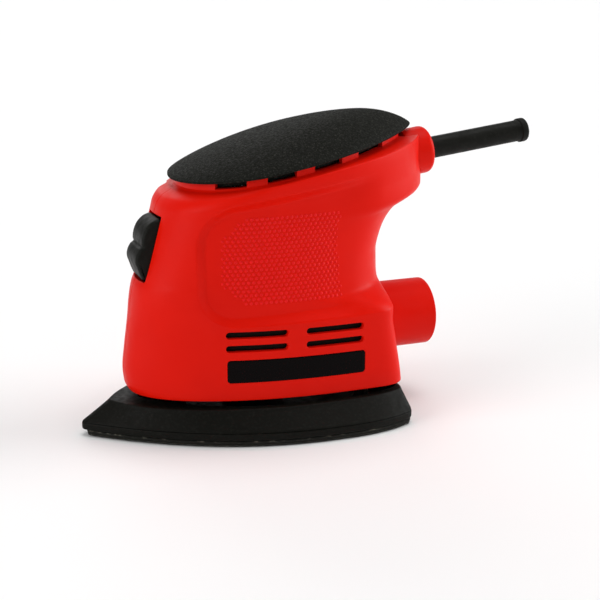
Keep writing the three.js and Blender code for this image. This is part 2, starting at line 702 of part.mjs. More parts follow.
// Eccentric pin below, with a half-round weight on the far side of the drive axis.
function counterweight() {
  const weight = solid(disc(19, 15.8, 19.4, 28)).intersect(solid(box(-30, 2, -30, 30, 14, 20)));
  const hub = disc(8, 15.8, 19.4, 20);
  const pin = disc(3.9, 6.4, 16, 16).translate(ORBIT, 0, 0);
  const collar = disc(5.6, 13.6, 16, 16).translate(ORBIT, 0, 0);
  let piece = weight.add(solid(hub)).add(solid(collar)).add(solid(pin));
  piece = piece.subtract(solid(disc(SHAFT_R + 0.15, 14.05, 30, 20)));
  return geometryOf(piece.subtract(solid(disc(2.15, 5, 12.4, 12).translate(ORBIT, 0, 0))));
}

// Plate between motor and fan: it carries the lower bearing and lets the cooling air down.
function bearingBridge() {
  let bridge = joined(disc(28.6, 35.2, 37.4, 28), disc(14, 35.2, 45.6, 20), tube(26.2, 28.6, 35.2, 50, 28));
  bridge = bridge.subtract(solid(disc(BALL_BEARING.outer + 0.2, 37.6, 50, 28)));
  bridge = bridge.subtract(solid(disc(7, 30, 50, 16)));
  for (let i = 0; i < 6; i += 1) {
    const port = disc(4.6, 30, 40, 8).translate(20.5, 0, 0).rotateZ((FULL_TURN * (i + 0.5)) / 6);
    bridge = bridge.subtract(solid(port));
  }
  return geometryOf(bridge);
}

// Outer and inner ring of a ball bearing with its lower face at zero.
function bearingRings({ outer, inner, width }) {
  const third = (outer - inner) / 3.4;
  return [tube(outer - third, outer, 0, width, 20), tube(inner, inner + third, 0, width, 16)];
}

function brushHolder(side) {
  const shell = solid(box(-4.6, 4.6, 11, 28, -5.6, 5.6));
  const channel = solid(box(-3.4, 3.4, 10, 27, -4.4, 4.4));
  const holder = geometryOf(shell.subtract(channel));
  return holder.rotateZ(side < 0 ? HALF_TURN : 0);
}

function brushSpring(side) {
  class Helix extends THREE.Curve {
    getPoint(t, target = new THREE.Vector3()) {
      const angle = t * 3.5 * FULL_TURN;
      return target.set(2.2 * Math.cos(angle), 19.9 + 6.2 * t, 2.2 * Math.sin(angle));
    }
  }
  const wire = new THREE.Shape();
  wire.absarc(0, 0, 0.35, 0, FULL_TURN);
  const options = { steps: 32, curveSegments: 3, bevelEnabled: false, extrudePath: new Helix() };
  return new THREE.ExtrudeGeometry(wire, options).rotateZ(side < 0 ? HALF_TURN : 0);
}

// ---------------------------------------------------------------- switch

const ROCKER_FACE = [[-0.4, 13.6], [1.9, 12], [3.7, 9.4], [4.5, 6.7], [4.6, 3.9], [4.1, 1.4], [3.4, 0.2],
  [4.5, -1.4], [5.1, -4.3], [4.6, -6.9], [3, -9.2], [1.2, -11.6], [-0.4, -13.4]];

function switchRocker() {
  const back = [[-3, -13.2], [-7.6, -6], [-7.6, 6], [-3, 13.4]];
  const outline = [...ROCKER_FACE, ...back].map(([u, v]) => new THREE.Vector2(-u, v));
  const depth = 2 * SWITCH.half - 1.6;
  const round = { bevelSize: 0.8, bevelThickness: 0.8, bevelOffset: -0.8, bevelSegments: 2 };
  const rocker = new THREE.ExtrudeGeometry(new THREE.Shape(outline), { depth, ...round });
  rocker.translate(0, 0, -depth / 2).rotateX(HALF_TURN / 2);
  const pin = disc(1.2, -10, 10, 12).rotateX(HALF_TURN / 2).translate(-SWITCH.pivot, 0, 0);
  return onSwitchFace(geometryOf(solid(rocker).add(solid(pin))));
}

// Frame behind the wall that carries the rocker's pivot pins.
function switchFrame() {
  const opening = solid(switchBox(-12, 14, SWITCH.half + GAP, SWITCH.high));
  const frame = solid(switchBox(-9.4, 1.5, SWITCH_ROOM.half - GAP, SWITCH_ROOM.high - GAP)).subtract(opening);
  const hole = disc(1.5, -12, 12, 12).rotateX(HALF_TURN / 2).translate(-SWITCH.pivot, 0, 0);
  const bored = frame.subtract(solid(onSwitchFace(hole)));
  return geometryOf(bored.intersect(solid(loft(outerRings(WALL + GAP)))));
}

function switchBody() {
  let body = solid(switchBox(-17.5, -9.8, 8.4, 12.5));
  for (const v of [-8, 0, 8]) {
    body = body.add(solid(onSwitchFace(box(17, 21.5, -2.4, 2.4, v - 0.4, v + 0.4))));
  }
  return geometryOf(body);
}

// ---------------------------------------------------------------- rear fittings and small parts

function dustPort() {
  const { outer, bore, start, end, flange, flangeWidth } = PORT;
  const shoulder = start + flangeWidth;
  const profile = [[bore, start], [flange, start], [flange, shoulder], [outer, shoulder], [outer, end - 0.8],
    [outer - 0.25, end - 0.25], [outer - 0.8, end], [bore + 0.3, end],
    [bore, end - 0.4], [bore, start]];
  return alongX(turned(profile, 28), PORT.z);
}

function cordCollar() {
  const { outer, start, end } = COLLAR;
  const bore = SLEEVE.outer + GAP;
  const profile = [[bore, start], [outer, start], [outer, end - 4.6], [outer - 0.6, end - 2.5],
    [outer - 2, end - 0.9], [outer - 4.2, end], [bore, end], [bore, start]];
  return onCordAxis(turned(profile, 24));
}

function strainRelief() {
  const { outer, lip, bore, start, end } = SLEEVE;
  const profile = [[bore, start], [outer + 2.4, start], [outer + 2.4, start + 3], [outer, start + 3],
    [outer, end - 3.4], [lip, end - 3.1], [lip, end - 1.2], [lip - 1, end], [bore, end], [bore, start]];
  return onCordAxis(turned(profile, 16));
}

function cordClamp() {
  const groove = disc(3.3, -20, 20, 16).rotateY(HALF_TURN / 2);
  let clamp = solid(box(-4, 4, -11, 11, 0, 5.9)).subtract(solid(groove));
  for (const y of [-7.6, 7.6]) clamp = clamp.subtract(solid(disc(1.75, -10, 10, 12).translate(0, y, 0)));
  return geometryOf(clamp);
}

// Pan-head screw along Z, its head above zero.
function screw(headR, headH, shankR, length) {
  const head = [[0, headH], [headR * 0.6, headH], [headR, headH * 0.5], [headR, 0], [shankR, 0]];
  const shank = [[shankR, -length + shankR], [shankR * 0.3, -length], [0, -length]];
  const blank = solid(turned([...head, ...shank], 10));
  const slot = solid(box(-headR, headR, -0.45, 0.45, headH - 0.8, headH + 1));
  return geometryOf(blank.subtract(slot));
}

function wire(points, radius) {
  const path = new THREE.CatmullRomCurve3(points.map((p) => new THREE.Vector3(...p)));
  const section = new THREE.Shape();
  section.absarc(0, 0, radius, 0, FULL_TURN);
  const options = { steps: 12, curveSegments: 3, bevelEnabled: false, extrudePath: path };
  return new THREE.ExtrudeGeometry(section, options);
}

// ---------------------------------------------------------------- assembly

const sander = new THREE.Group();

function add(name, geometry, material, position = [0, 0, 0], rotation = [0, 0, 0]) {
  const mesh = new THREE.Mesh(closed(geometry), material);
  mesh.name = name;
  mesh.position.set(...position);
  mesh.rotation.set(...rotation);
  sander.add(mesh);
}

// casings and fittings
add('left_housing', housingHalf(-1), RED);
add('right_housing', housingHalf(1), RED);
add('palm_cover', palmCover(), TEXTURED_BLACK);
add('dust_port', dustPort(), RED);
add('cord_collar', cordCollar(), RED);
add('strain_relief', strainRelief(), RUBBER);
const labelEdges = [PLATE.front + GAP, PLATE.rear - GAP, PLATE.low + GAP, PLATE.high - GAP];
const plateStrip = sideStrip(...labelEdges, -0.6, -0.15);
add('name_plate', plateStrip, GLOSS_BLACK);
add('rating_plate', plateStrip.clone().scale(1, -1, 1), GLOSS_BLACK);

// screens behind the cooling slots
const screenEdges = [SCREEN.front, SCREEN.rear, SCREEN.low, SCREEN.high];
const screenStrip = sideStrip(...screenEdges, -SCREEN.inner, -SCREEN.outer);
add('vent_screen_left', screenStrip, BLACK_PLASTIC);
add('vent_screen_right', screenStrip.clone().scale(1, -1, 1), BLACK_PLASTIC);

// cord anchorage
add('cord_clamp', cordClamp(), BLACK_PLASTIC, [CLAMP.x, 0, CLAMP.z]);
for (const [i, y] of [-7.6, 7.6].entries()) {
  add(`cord_clamp_screw_${i + 1}`, screw(2.8, 1.8, 1.4, 7), STEEL, [CLAMP.x, y, CLAMP.z + 6.1]);
}

// switch
add('switch_frame', switchFrame(), BLACK_PLASTIC);
add('switch_body', switchBody(), BLACK_PLASTIC);
add('switch_rocker', switchRocker(), RUBBER);

// screws that close the body, driven in from the right side
for (const [i, [x, z]] of BODY_SCREWS.entries()) {
  add(`housing_screw_${i + 1}`, screw(3, 2, 1.5, 17), STEEL, [x, 8.3, z], [-HALF_TURN / 2, 0, 0]);
}

// motor, fixed parts
add('stator_core', statorCore(), LAMINATION);
for (const [name, side] of [['left', -1], ['right', 1]]) {
  add(`field_coil_${name}`, fieldCoil(side), COPPER);
  add(`brush_holder_${name}`, brushHolder(side), BRASS, [0, 0, BRUSH_LEVEL]);
  const brush = box(-3.1, 3.1, 9.4, 19.4, -4.1, 4.1).rotateZ(side < 0 ? HALF_TURN : 0);
  add(`carbon_brush_${name}`, brush, CARBON, [0, 0, BRUSH_LEVEL]);
  add(`brush_spring_${name}`, brushSpring(side), STEEL, [0, 0, BRUSH_LEVEL]);
}
add('bearing_bridge', bearingBridge(), BLACK_PLASTIC);
add('bearing_sleeve', tube(TOP_BEARING.outer + 0.2, 11.8, 99.6, 106.8, 24), RUBBER);
add('capacitor', box(30, 43, -4, 4, 94, 103), YELLOW_CASE);
const leadPath = [[-26.6, 4.2, 84.6], [-21, 12, 90], [-13, 18, 94], [-6.2, 21, 94.5]];
add('live_lead', wire(leadPath.map(([x, y, z]) => [x, -y, z]), 1), BROWN_WIRE);
add('neutral_lead', wire(leadPath, 1), BLUE_WIRE);

// bearings
const [topOuter, topInner] = bearingRings(TOP_BEARING);
const [lowOuter, lowInner] = bearingRings(BALL_BEARING);
add('upper_bearing_outer', topOuter, STEEL, [0, 0, 100.4]);
add('upper_bearing_inner', topInner, STEEL, [0, 0, 100.4]);
add('lower_bearing_outer', lowOuter, STEEL, [0, 0, 37.8]);
add('lower_bearing_inner', lowInner, STEEL, [0, 0, 37.8]);
add('platen_bearing_outer', lowOuter, STEEL, [ORBIT, 0, 6]);
add('platen_bearing_inner', lowInner, STEEL, [ORBIT, 0, 6]);

// rotor
add('rotor_shaft', rotorShaft(), STEEL);
add('armature_core', armatureCore(), LAMINATION);
add('armature_winding', armatureWinding(), COPPER);
add('commutator', commutator(), COPPER);
add('cooling_fan', coolingFan(), FAN_PLASTIC);
add('counterweight', counterweight(), ZINC);
add('bearing_screw', screw(4.2, 2.2, 1.9, 6), STEEL, [ORBIT, 0, 5.6], [HALF_TURN, 0, 0]);

// platen
add('base_plate', basePlate(), BLACK_PLASTIC);
add('foam_pad', loft([padRing(HOOK_TOP + 0.1, 0.5), padRing(FOAM_TOP, 0.4)]), FOAM);
add('hook_pad', loft([padRing(0, 0.7), padRing(HOOK_TOP, 0.6)]), FOAM);
for (const [i, [x, y]] of POSTS.entries()) {
  add(`rubber_post_${i + 1}`, turned([[0, 18.5], [4.3, 18.5], [4.3, 16.6], [3.2, 15], [3.2, 11.4], [4.3, 9.8],
    [4.3, 6], [2.1, 6], [2.1, 12], [0, 12]], 10), RUBBER, [x, y, 0]);
  add(`plate_screw_${i + 1}`, screw(3.4, 1, 1.7, 6), STEEL, [x, y, 4.1], [HALF_TURN, 0, 0]);
}

export default sander;
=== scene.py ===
"""Looks of the detail sander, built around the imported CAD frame.

Shapes are worked out in millimetres, as in the CAD, and stored in metres.
+X runs to the rear along the cord, +Z up the drive axis, the near side is -Y.
"""

import json
import math
import random

import bmesh
import bpy
import numpy as np
from mathutils import Matrix, Vector


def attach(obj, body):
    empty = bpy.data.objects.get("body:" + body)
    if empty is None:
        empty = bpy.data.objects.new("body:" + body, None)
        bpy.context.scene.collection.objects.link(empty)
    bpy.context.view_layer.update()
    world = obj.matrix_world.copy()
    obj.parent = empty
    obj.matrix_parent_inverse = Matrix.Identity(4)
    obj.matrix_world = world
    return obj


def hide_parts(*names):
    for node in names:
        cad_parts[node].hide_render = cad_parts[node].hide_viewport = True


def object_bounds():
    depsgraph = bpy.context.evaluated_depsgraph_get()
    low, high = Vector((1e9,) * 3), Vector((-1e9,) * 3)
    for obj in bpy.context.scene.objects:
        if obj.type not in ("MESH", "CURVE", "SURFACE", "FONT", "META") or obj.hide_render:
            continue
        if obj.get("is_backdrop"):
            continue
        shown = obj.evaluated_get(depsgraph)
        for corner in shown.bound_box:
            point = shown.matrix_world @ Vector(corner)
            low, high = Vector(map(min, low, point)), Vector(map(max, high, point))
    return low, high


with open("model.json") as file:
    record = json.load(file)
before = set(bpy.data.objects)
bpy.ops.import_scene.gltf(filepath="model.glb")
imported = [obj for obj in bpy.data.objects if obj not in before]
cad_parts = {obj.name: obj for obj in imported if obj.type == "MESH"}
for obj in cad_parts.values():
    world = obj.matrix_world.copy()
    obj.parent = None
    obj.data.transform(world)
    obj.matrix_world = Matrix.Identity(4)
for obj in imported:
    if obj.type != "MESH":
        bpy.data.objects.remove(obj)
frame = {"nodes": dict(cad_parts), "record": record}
cad_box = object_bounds()

MM = 0.001
random.seed(7)

# ---- driving dimensions, mm

TILT_START = 40.0
COVER_SLOPE = 0.1613
COVER_LEVEL = 116.6
SHOULDER_LEVEL = 112.6
LEAN_RATE = COVER_SLOPE / (SHOULDER_LEVEL - TILT_START)
WALL = 2.5
SEAM = 0.1
SEAM_EASE = 0.3
HALF_RING_LENGTH = 165.0
FOOT_LEVELS = [18.0, 18.15, 18.45, 18.9]
FOOT_INSETS = [0.8, 0.35, 0.08, 0.0]

RECESS = dict(front=-33.2, low=51.8, high=107.3, corner=17.0, depth=3.4, slope=3.9)
COVER = dict(front=36.0, rear=77.0, half=38.2, rise=13.73, lip=1.0)
EGG = dict(front=1.95, rear=2.05, blunt=0.31, rear_inset=1.6)
DOME = dict(middle=38.0, power=2.1, fullness=0.87)
NECK_INSET = 3.0
TABS = [(-60.0, -23.8), (-12.8, -4.6), (8.3, 16.8), (30.8, 40.0), (55.4, 69.0)]

PLATEN = dict(tip=-78.39, rear=64.0, half=45.78, widest=30.0, rim=15.0, deck_bottom=13.4, floor=5.7)
TIP = dict(radius=2.5, pad_radius=6.0, angle=0.744)
RIM = dict(tip=12.5, rear=2.5, side=0.821, front=0.12)
DECK_OPENING = dict(tip=-53.0, rear=60.0, side=0.742, front=0.37)
POSTS = [(-37, -9.5), (-37, 9.5), (45, -23), (45, 23)]
ORBIT = 1.0
SWITCH = dict(x=-48.05, z=82.7, lean=math.atan(0.303), half=8.8)
PORT = dict(z=40.0, outer=15.6, bore=13.0, start=52.6, end=86.2)
CORD = dict(x=78.0, z=116.3, tilt=math.radians(7))
COLLAR = dict(outer=10.8, start=-5.0, end=7.9)
SLEEVE = dict(outer=5.0, lip=5.6, bore=3.5, start=-10.0, end=59.97)
SLOTS = [(x, z) for x in (-8.4, 26.0) for z in (47.9, 41.9)]
SLOT_LENGTH = 26.5
SLOT_HEIGHT = 3.0
GRIP_DOTS = dict(pitch=2.17, row_step=1.82, rows=21, low=61.5, front=-26.0, rear=33.0)
DOT_PROFILE = [(0.72, -0.25), (0.7, 0.02), (0.58, 0.2), (0.38, 0.3), (0.15, 0.34)]
PLATE = dict(front=-21.2, rear=40.2, low=26.6, high=36.8)
BODY_SCREWS = [(-46, 33), (-40, 60), (47.5, 63), (47, 33), (-33, 103), (61, 104)]
SCREW_HEAD_Y = 8.3
SCREW_WELL = dict(inner=1.9, floor=8.2, bore=3.42, outer=4.6, start=4.0, sunk=1.6)
HOOKS = dict(pitch=1.9, rows=48, rim_pitch=0.95, scatter=0.2)
FLOOR = dict(half=6000, z=-0.2)

# The camera's place in metres, and each sun's direction and strength.
CAMERA = dict(lens=73.61, shift_x=0.0481, shift_y=-0.0445, place=(-0.17776, -0.49925, 0.20635),
              aim=(0.01, 0, 0.065))
SUNS = dict(left=((-1.0, -0.2, 0.3), 1.25), right=((1.0, -0.17, 0.3), 2.15), top=((0.1, 0.0, 1.0), 1.3),
            behind=((0.1, 1.0, 0.5), 0.5))


# ---- curves and surfaces


def smooth_run(knots):
    """A smooth run through knots (at, value), flat where the values turn round."""
    at, value = np.array(knots, float).T
    slope = np.diff(value) / np.diff(at)
    product = slope[:-1] * slope[1:]
    total = np.where(product > 0, slope[:-1] + slope[1:], 1)
    inner = np.where(product > 0, 2 * product / total, 0)
    tangent = np.concatenate([slope[:1], inner, slope[-1:]])

    def run(x):
        x = np.clip(x, at[0], at[-1])
        i = np.clip(np.searchsorted(at, x, side="right") - 1, 0, len(at) - 2)
        span = at[i + 1] - at[i]
        s = (x - at[i]) / span
        start = value[i] * (1 + 2 * s) * (1 - s) ** 2 + tangent[i] * span * s * (1 - s) ** 2
        end = value[i + 1] * s * s * (3 - 2 * s) - tangent[i + 1] * span * s * s * (1 - s)
        return start + end

    return run


body_front = smooth_run([(18, -56.6), (22, -58.5), (28, -59.1), (39, -57.9), (51.6, -56.3), (63.6, -54.9),
                         (69.5, -53.7), (73, -52.3), (102.5, -43.9), (107, -42.6), (110.5, -40.2),
                         (112.4, -36.4), (113, -35)])
body_rear = smooth_run([(18, 63.4), (26, 61.9), (40, 59.2), (48, 57.8), (52, 58.2), (58.5, 58.9), (64, 58.3),
                        (72, 58.2), (78.6, 60), (83, 62.5), (87.3, 66.9), (89.5, 71), (91, 76.5),
                        (92.3, 80.2), (94, 81.8), (97, 82), (104, 81.4), (112, 80.6), (113, 80)])
body_half = smooth_run([(18, 36), (26, 36.9), (51.6, 36.9), (75, 36.4), (100, 37), (110, 38), (112.2, 37.9),
                        (113, 36.6)])
body_widest = smooth_run([(18, 33), (48, 31), (62, 12), (80, 6), (100, 2), (113, 0)])
front_power = smooth_run([(18, 2.05), (60, 2.1), (106, 2.25), (110, 2.1), (113, 1.7)])


def rear_power(h, tail_power):
    t = np.clip((h - RECESS["low"]) / 9, 0, 1)
    waist = 6 + (2.1 - 6) * (1 - (1 - t) ** 2)
    return waist + (tail_power - 2.1) * np.clip((h - 80) / 20, 0, 1)


def lean(h):
    return LEAN_RATE * np.maximum(0, h - TILT_START)


def level_of(x, z):
    return np.where(z <= TILT_START, z, (z + TILT_START * LEAN_RATE * x) / (1 + LEAN_RATE * x))


def recess_depth(x, h):
    middle = (RECESS["low"] + RECESS["high"]) / 2
    in_x = x - RECESS["front"] - RECESS["corner"]
    in_h = (RECESS["high"] - RECESS["low"]) / 2 - np.abs(h - middle) - RECESS["corner"]
    outside = np.hypot(np.minimum(0, in_x), np.minimum(0, in_h))
    depth_in = RECESS["corner"] - outside + np.maximum(0, np.minimum(in_x, in_h))
    wall = 1 - (1 - np.clip(depth_in / RECESS["slope"], 0, 1)) ** 1.2
    fade = np.clip((x - 26) / 26, 0, 1)
    return RECESS["depth"] * wall * (1 - fade * fade * (3 - 2 * fade))


def powers(h, front):
    along = np.where(front, front_power(h), rear_power(h, 2.5))
    across = np.where(front, front_power(h), rear_power(h, 1.6))
    return along, across


def body_side(x, h):
    """Half the body's width at x on level h, with the grip recess."""
    centre = body_widest(h)
    front = x < centre
    reach = np.where(front, centre - body_front(h), body_rear(h) - centre)
    along, across = powers(h, front)
    fraction = np.clip(np.abs(x - centre) / reach, 0, 1)
    share = (1 - fraction**along) ** (1 / across)
    return body_half(h) * share - recess_depth(x, h) * share ** (across / 2)


def body_nose(y, z):
    """x of the nose surface at y and z."""
    x = np.full(np.shape(y), -50.0)
    for _ in range(12):
        h = level_of(x, z)
        power = front_power(h)
        share = (1 - np.clip(np.abs(y) / body_half(h), 0, 1) ** power) ** (1 / power)
        x = body_widest(h) - (body_widest(h) - body_front(h)) * share
    return x


def inset_curve(points, inset, ends):
    """Moves each 2-D point to the left of its direction by inset. ends closes the line or not."""
    if ends == "closed":
        along = np.roll(points, -1, 0) - np.roll(points, 1, 0)
    else:
        along = np.gradient(points, axis=0)
        along[0], along[-1] = (0, 1), (0, -1)
    along = along / np.maximum(np.linalg.norm(along, axis=1, keepdims=True), 1e-9)
    inward = np.stack([-along[:, 1], along[:, 0]], 1)
    return points + inward * np.asarray(inset).reshape(-1, 1)


def spaced(points, shares):
    """Points at shares of the length of a 2-D line."""
    run = np.concatenate([[0], np.cumsum(np.hypot(*np.diff(points, axis=0).T))])
    at = shares * run[-1]
    return np.stack([np.interp(at, run, points[:, 0]), np.interp(at, run, points[:, 1])], 1)


def quarter():
    t = np.linspace(0, 1, 260)
    for _ in range(2):
        t = t * t * (3 - 2 * t)
    return t * math.pi / 2


HALF_TURN_SAMPLES = np.concatenate([quarter(), math.pi / 2 + quarter()[1:]])


def body_half_ring(h, shares, inset=0.0):
    """One level of the right half, from the tail round to the nose."""
    c, s = np.cos(HALF_TURN_SAMPLES), np.sin(HALF_TURN_SAMPLES)
    front = c < 0
    centre = body_widest(h)
    reach = np.where(front, centre - body_front(h), body_rear(h) - centre)
    along, across = powers(h, front)
    x = centre + np.sign(c) * reach * np.abs(c) ** (2 / along)
    y = body_half(h) * np.abs(s) ** (2 / across)
    flat = spaced(np.stack([x, y], 1), shares)
    _, across = powers(h, flat[:, 0] < centre)
    sine = np.clip(flat[:, 1] / body_half(h), 0, 1) ** (across / 2)
    flat[:, 1] = np.maximum(0, flat[:, 1] - recess_depth(flat[:, 0], h) * sine)
    flat = inset_curve(flat, inset, "open")
    flat[:, 1] = SEAM / 2 + np.maximum(flat[:, 1], 0) * (1 - SEAM / 2 / 36)
    return np.stack([flat[:, 0], flat[:, 1], h + lean(h) * flat[:, 0]], 1)


def egg_half(fraction, front):
    power = EGG["front"]
    nose = (1 - fraction**power) ** (1 / power)
    s = np.sqrt(1 - fraction ** EGG["rear"])
    tail = (1 - EGG["blunt"]) * s * s + EGG["blunt"] * s
    return np.where(front, nose, tail)


def egg_reach(front, inset):
    return np.where(front, COVER["front"] - inset, COVER["rear"] - EGG["rear_inset"] * inset)


def egg_line(inset):
    """Half outline of the cover, from the tail round to the nose."""
    angle = HALF_TURN_SAMPLES
    c = np.cos(angle)
    front = c < 0
    fraction = np.abs(c) ** (2 / np.where(front, EGG["front"], EGG["rear"]))
    x = np.sign(c) * egg_reach(front, inset) * fraction
    y = (COVER["half"] - inset) * egg_half(fraction, front)
    return np.stack([x, y], 1)


def egg_half_ring(inset, height, shares):
    flat = spaced(egg_line(inset), shares)
    y = SEAM / 2 + flat[:, 1]
    return np.stack([flat[:, 0], y, COVER_LEVEL + COVER_SLOPE * flat[:, 0] + height], 1)


def neck_half(x, inset):
    front = x < 0
    fraction = np.clip(np.abs(x) / egg_reach(front, inset), 0, 1)
    return (COVER["half"] - inset) * egg_half(fraction, front)


# ---- mesh helpers


def grid_faces(rows, columns, wrap=False, start=0, flip=False):
    faces = []
    for r in range(rows - 1):
        for c in range(columns if wrap else columns - 1):
            n = (c + 1) % columns
            quad = [r * columns + c, r * columns + n, (r + 1) * columns + n, (r + 1) * columns + c]
            faces.append([start + i for i in (reversed(quad) if flip else quad)])
    return faces


def mesh_from(name, points, faces):
    mesh = bpy.data.meshes.new(name)
    mesh.from_pydata((np.asarray(points) * MM).tolist(), [], faces)
    return mesh


def tidy_mesh(mesh, weld=1e-6):
    """Welds doubles, drops collapsed faces and turns every face outwards."""
    bm = bmesh.new()
    bm.from_mesh(mesh)
    bmesh.ops.remove_doubles(bm, verts=bm.verts, dist=weld)
    bmesh.ops.dissolve_degenerate(bm, edges=bm.edges, dist=1e-7)
    bmesh.ops.recalc_face_normals(bm, faces=bm.faces)
    bm.to_mesh(mesh)
    bm.free()


def smooth(mesh, angle=35):
    mesh.polygons.foreach_set("use_smooth", [True] * len(mesh.polygons))
    mesh.set_sharp_from_angle(angle=math.radians(angle))


def skin(rings, closed=False, caps=True):
    """Points and faces of a skin through rings of equal length; ring points wrap round."""
    count = len(rings[0])
    points = np.concatenate(rings)
    faces = grid_faces(len(rings), count, wrap=True)
    last = (len(rings) - 1) * count
    if closed:
        for c in range(count):
            n = (c + 1) % count
            faces.append([last + c, last + n, n, c])
    elif caps:
        faces.append(list(reversed(range(count))))
        faces.append([last + i for i in range(count)])
    return points, faces


def joined(*parts):
    """Several (points, faces) as one."""
    points, faces, base = [], [], 0
    for part_points, part_faces in parts:
        points.append(np.asarray(part_points, float))
        faces += [[i + base for i in face] for face in part_faces]
        base += len(part_points)
    return np.concatenate(points), faces


def moved(part, matrix):
    """A part through a 4x4 matrix in mm."""
    points, faces = part
    m = np.array(matrix)
    return points @ m[:3, :3].T + m[:3, 3], faces


def link(name, data):
    obj = bpy.data.objects.new(name, data)
    bpy.context.scene.collection.objects.link(obj)
    return obj


def piece(name, part, body, slot, material, replaces=(), weld=1e-6):
    mesh = mesh_from(name, *part)
    tidy_mesh(mesh, weld)
    smooth(mesh)
    obj = link(name, mesh)
    obj.data.materials.append(material)
    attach(obj, body)
    if replaces:
        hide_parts(*replaces)
    return obj


def rounded(profile, radii, steps=5):
    """A 2-D line with its inner corners rounded; radii holds one radius, or one for each point."""
    radii = [radii] * len(profile) if np.isscalar(radii) else radii
    line = [profile[0]]
    for i in range(1, len(profile) - 1):
        before, at, after = (np.array(profile[j], float) for j in (i - 1, i, i + 1))
        u, v = before - at, after - at
        lu, lv = np.linalg.norm(u), np.linalg.norm(v)
        turn = math.acos(np.clip(np.dot(u, v) / lu / lv, -1, 1))
        reach = min(radii[i] / math.tan(turn / 2), 0.49 * lu, 0.49 * lv) if radii[i] else 0
        if reach < 1e-6:
            line.append(tuple(at))
            continue
        a, b = at + u / lu * reach, at + v / lv * reach
        for k in range(steps + 1):
            t = k / steps
            line.append(tuple((1 - t) ** 2 * a + 2 * t * (1 - t) * at + t * t * b))
    line.append(profile[-1])
    return line


def turned(profile, segments):
    """Profile points (radius, z) turned about Z; a profile that ends where it starts makes a ring."""
    angles = np.arange(segments) * 2 * math.pi / segments
    turn = np.stack([np.cos(angles), np.sin(angles), np.zeros(segments)], 1)
    rings = [turn * r + (0, 0, z) for r, z in profile]
    if np.allclose(profile[0], profile[-1]):
        return skin(rings[:-1], closed=True)
    return skin(rings)


def placed(x, z, turn=0.0):
    """A frame at (x, 0, z), turned about Y."""
    return Matrix.Translation((x, 0, z)) @ Matrix.Rotation(turn, 4, "Y")


PORT_FRAME = placed(0, PORT["z"], math.pi / 2)
CORD_FRAME = placed(CORD["x"], CORD["z"], math.pi / 2 - CORD["tilt"])
SWITCH_FRAME = placed(SWITCH["x"], SWITCH["z"], SWITCH["lean"])


def rounded_box_line(a, b, radius, steps=6, fine=1.0):
    """Counter-clockwise rounded rectangle of half sizes a and b, its straight runs cut every fine mm."""
    line = []
    for cx, cy, start in ((1, 1, 0), (-1, 1, 1), (-1, -1, 2), (1, -1, 3)):
        for k in range(steps + 1):
            angle = (start + k / steps) * math.pi / 2
            across, up = radius * math.cos(angle), radius * math.sin(angle)
            line.append((cx * (a - radius) + across, cy * (b - radius) + up))
    full = []
    for p, q in zip(line, line[1:] + line[:1]):
        p, q = np.array(p), np.array(q)
        cuts = max(1, int(np.linalg.norm(q - p) / fine))
        full += [p + (q - p) * k / cuts for k in range(cuts)]
    return np.array(full)


def grown(line, amount):
    return inset_curve(line, -amount, "closed")


def spine_of(line):
    """Each point of a line moved straight to its middle line, so that a face can be filled in rings."""
    low, high = line.min(0), line.max(0)
    middle, half = (low + high) / 2, (high - low) / 2
    room = np.maximum(half - half.min(), 0)
    return middle + np.clip(line - middle, -room, room)


def plug(line, layers, place, rings=3):
    """A closed solid between layers (distance out, growth) of an outline; place gives the points."""
    loops = [place(*grown(line, grow).T, out) for out, grow in layers]
    fills = []
    for out, grow in (layers[0], layers[-1]):
        edge = grown(line, grow)
        middle = spine_of(edge)
        fills.append([place(*(edge + (middle - edge) * k / rings).T, out) for k in range(1, rings + 1)])
    return skin(fills[0][::-1] + loops + fills[1], caps=False)


def flare(radius, depth, above=0.9):
    """Layers of a cutter that leaves its edge rounded."""
    layers = []
    for degrees in (18, 40, 62, 90):
        angle = math.radians(degrees)
        layers.append((-radius + radius * math.cos(angle), radius - radius * math.sin(angle)))
    top_out, top_grow = layers[0]
    return [(top_out + above, top_grow + above)] + layers + [(-depth, 0)]


def on_side(x0, z0):
    """Places feature points on the side surface: a along x, b up z, out away from the body."""

    def place(a, b, out):
        x, z = x0 + a, z0 + b
        return np.stack([x, body_side(x, level_of(x, z)) + out, z], 1)

    return place


def on_nose(a, b, out):
    """Places points round the switch opening: a across y, b up the leaning face."""
    lean_z = math.cos(SWITCH["lean"])
    z = SWITCH["z"] + b * lean_z
    x = body_nose(a, z)
    return np.stack([x - out * lean_z, a, z + out * math.sin(SWITCH["lean"])], 1)


def mirrored(part):
    points, faces = part
    return points * np.array([1, -1, 1]), [face[::-1] for face in faces]


def cut(mesh, cutters):
    """The mesh less its cutters, which are (points, faces)."""
    target = link("cut_target", mesh)
    tool_mesh = mesh_from("cut_tool", *joined(*cutters))
    tidy_mesh(tool_mesh)
    tool = link("cut_tool", tool_mesh)
    modifier = target.modifiers.new("cut", "BOOLEAN")
    modifier.operation = "DIFFERENCE"
    modifier.object = tool
    modifier.solver = "EXACT"
    modifier.use_self = True
    depsgraph = bpy.context.evaluated_depsgraph_get()
    result = bpy.data.meshes.new_from_object(target.evaluated_get(depsgraph))
    bpy.data.objects.remove(target)
    bpy.data.objects.remove(tool)
    return result


def part_of(mesh):
    """A mesh as (points, faces) in mm."""
    return np.array([v.co for v in mesh.vertices]) / MM, [list(p.vertices) for p in mesh.polygons]


# ---- materials


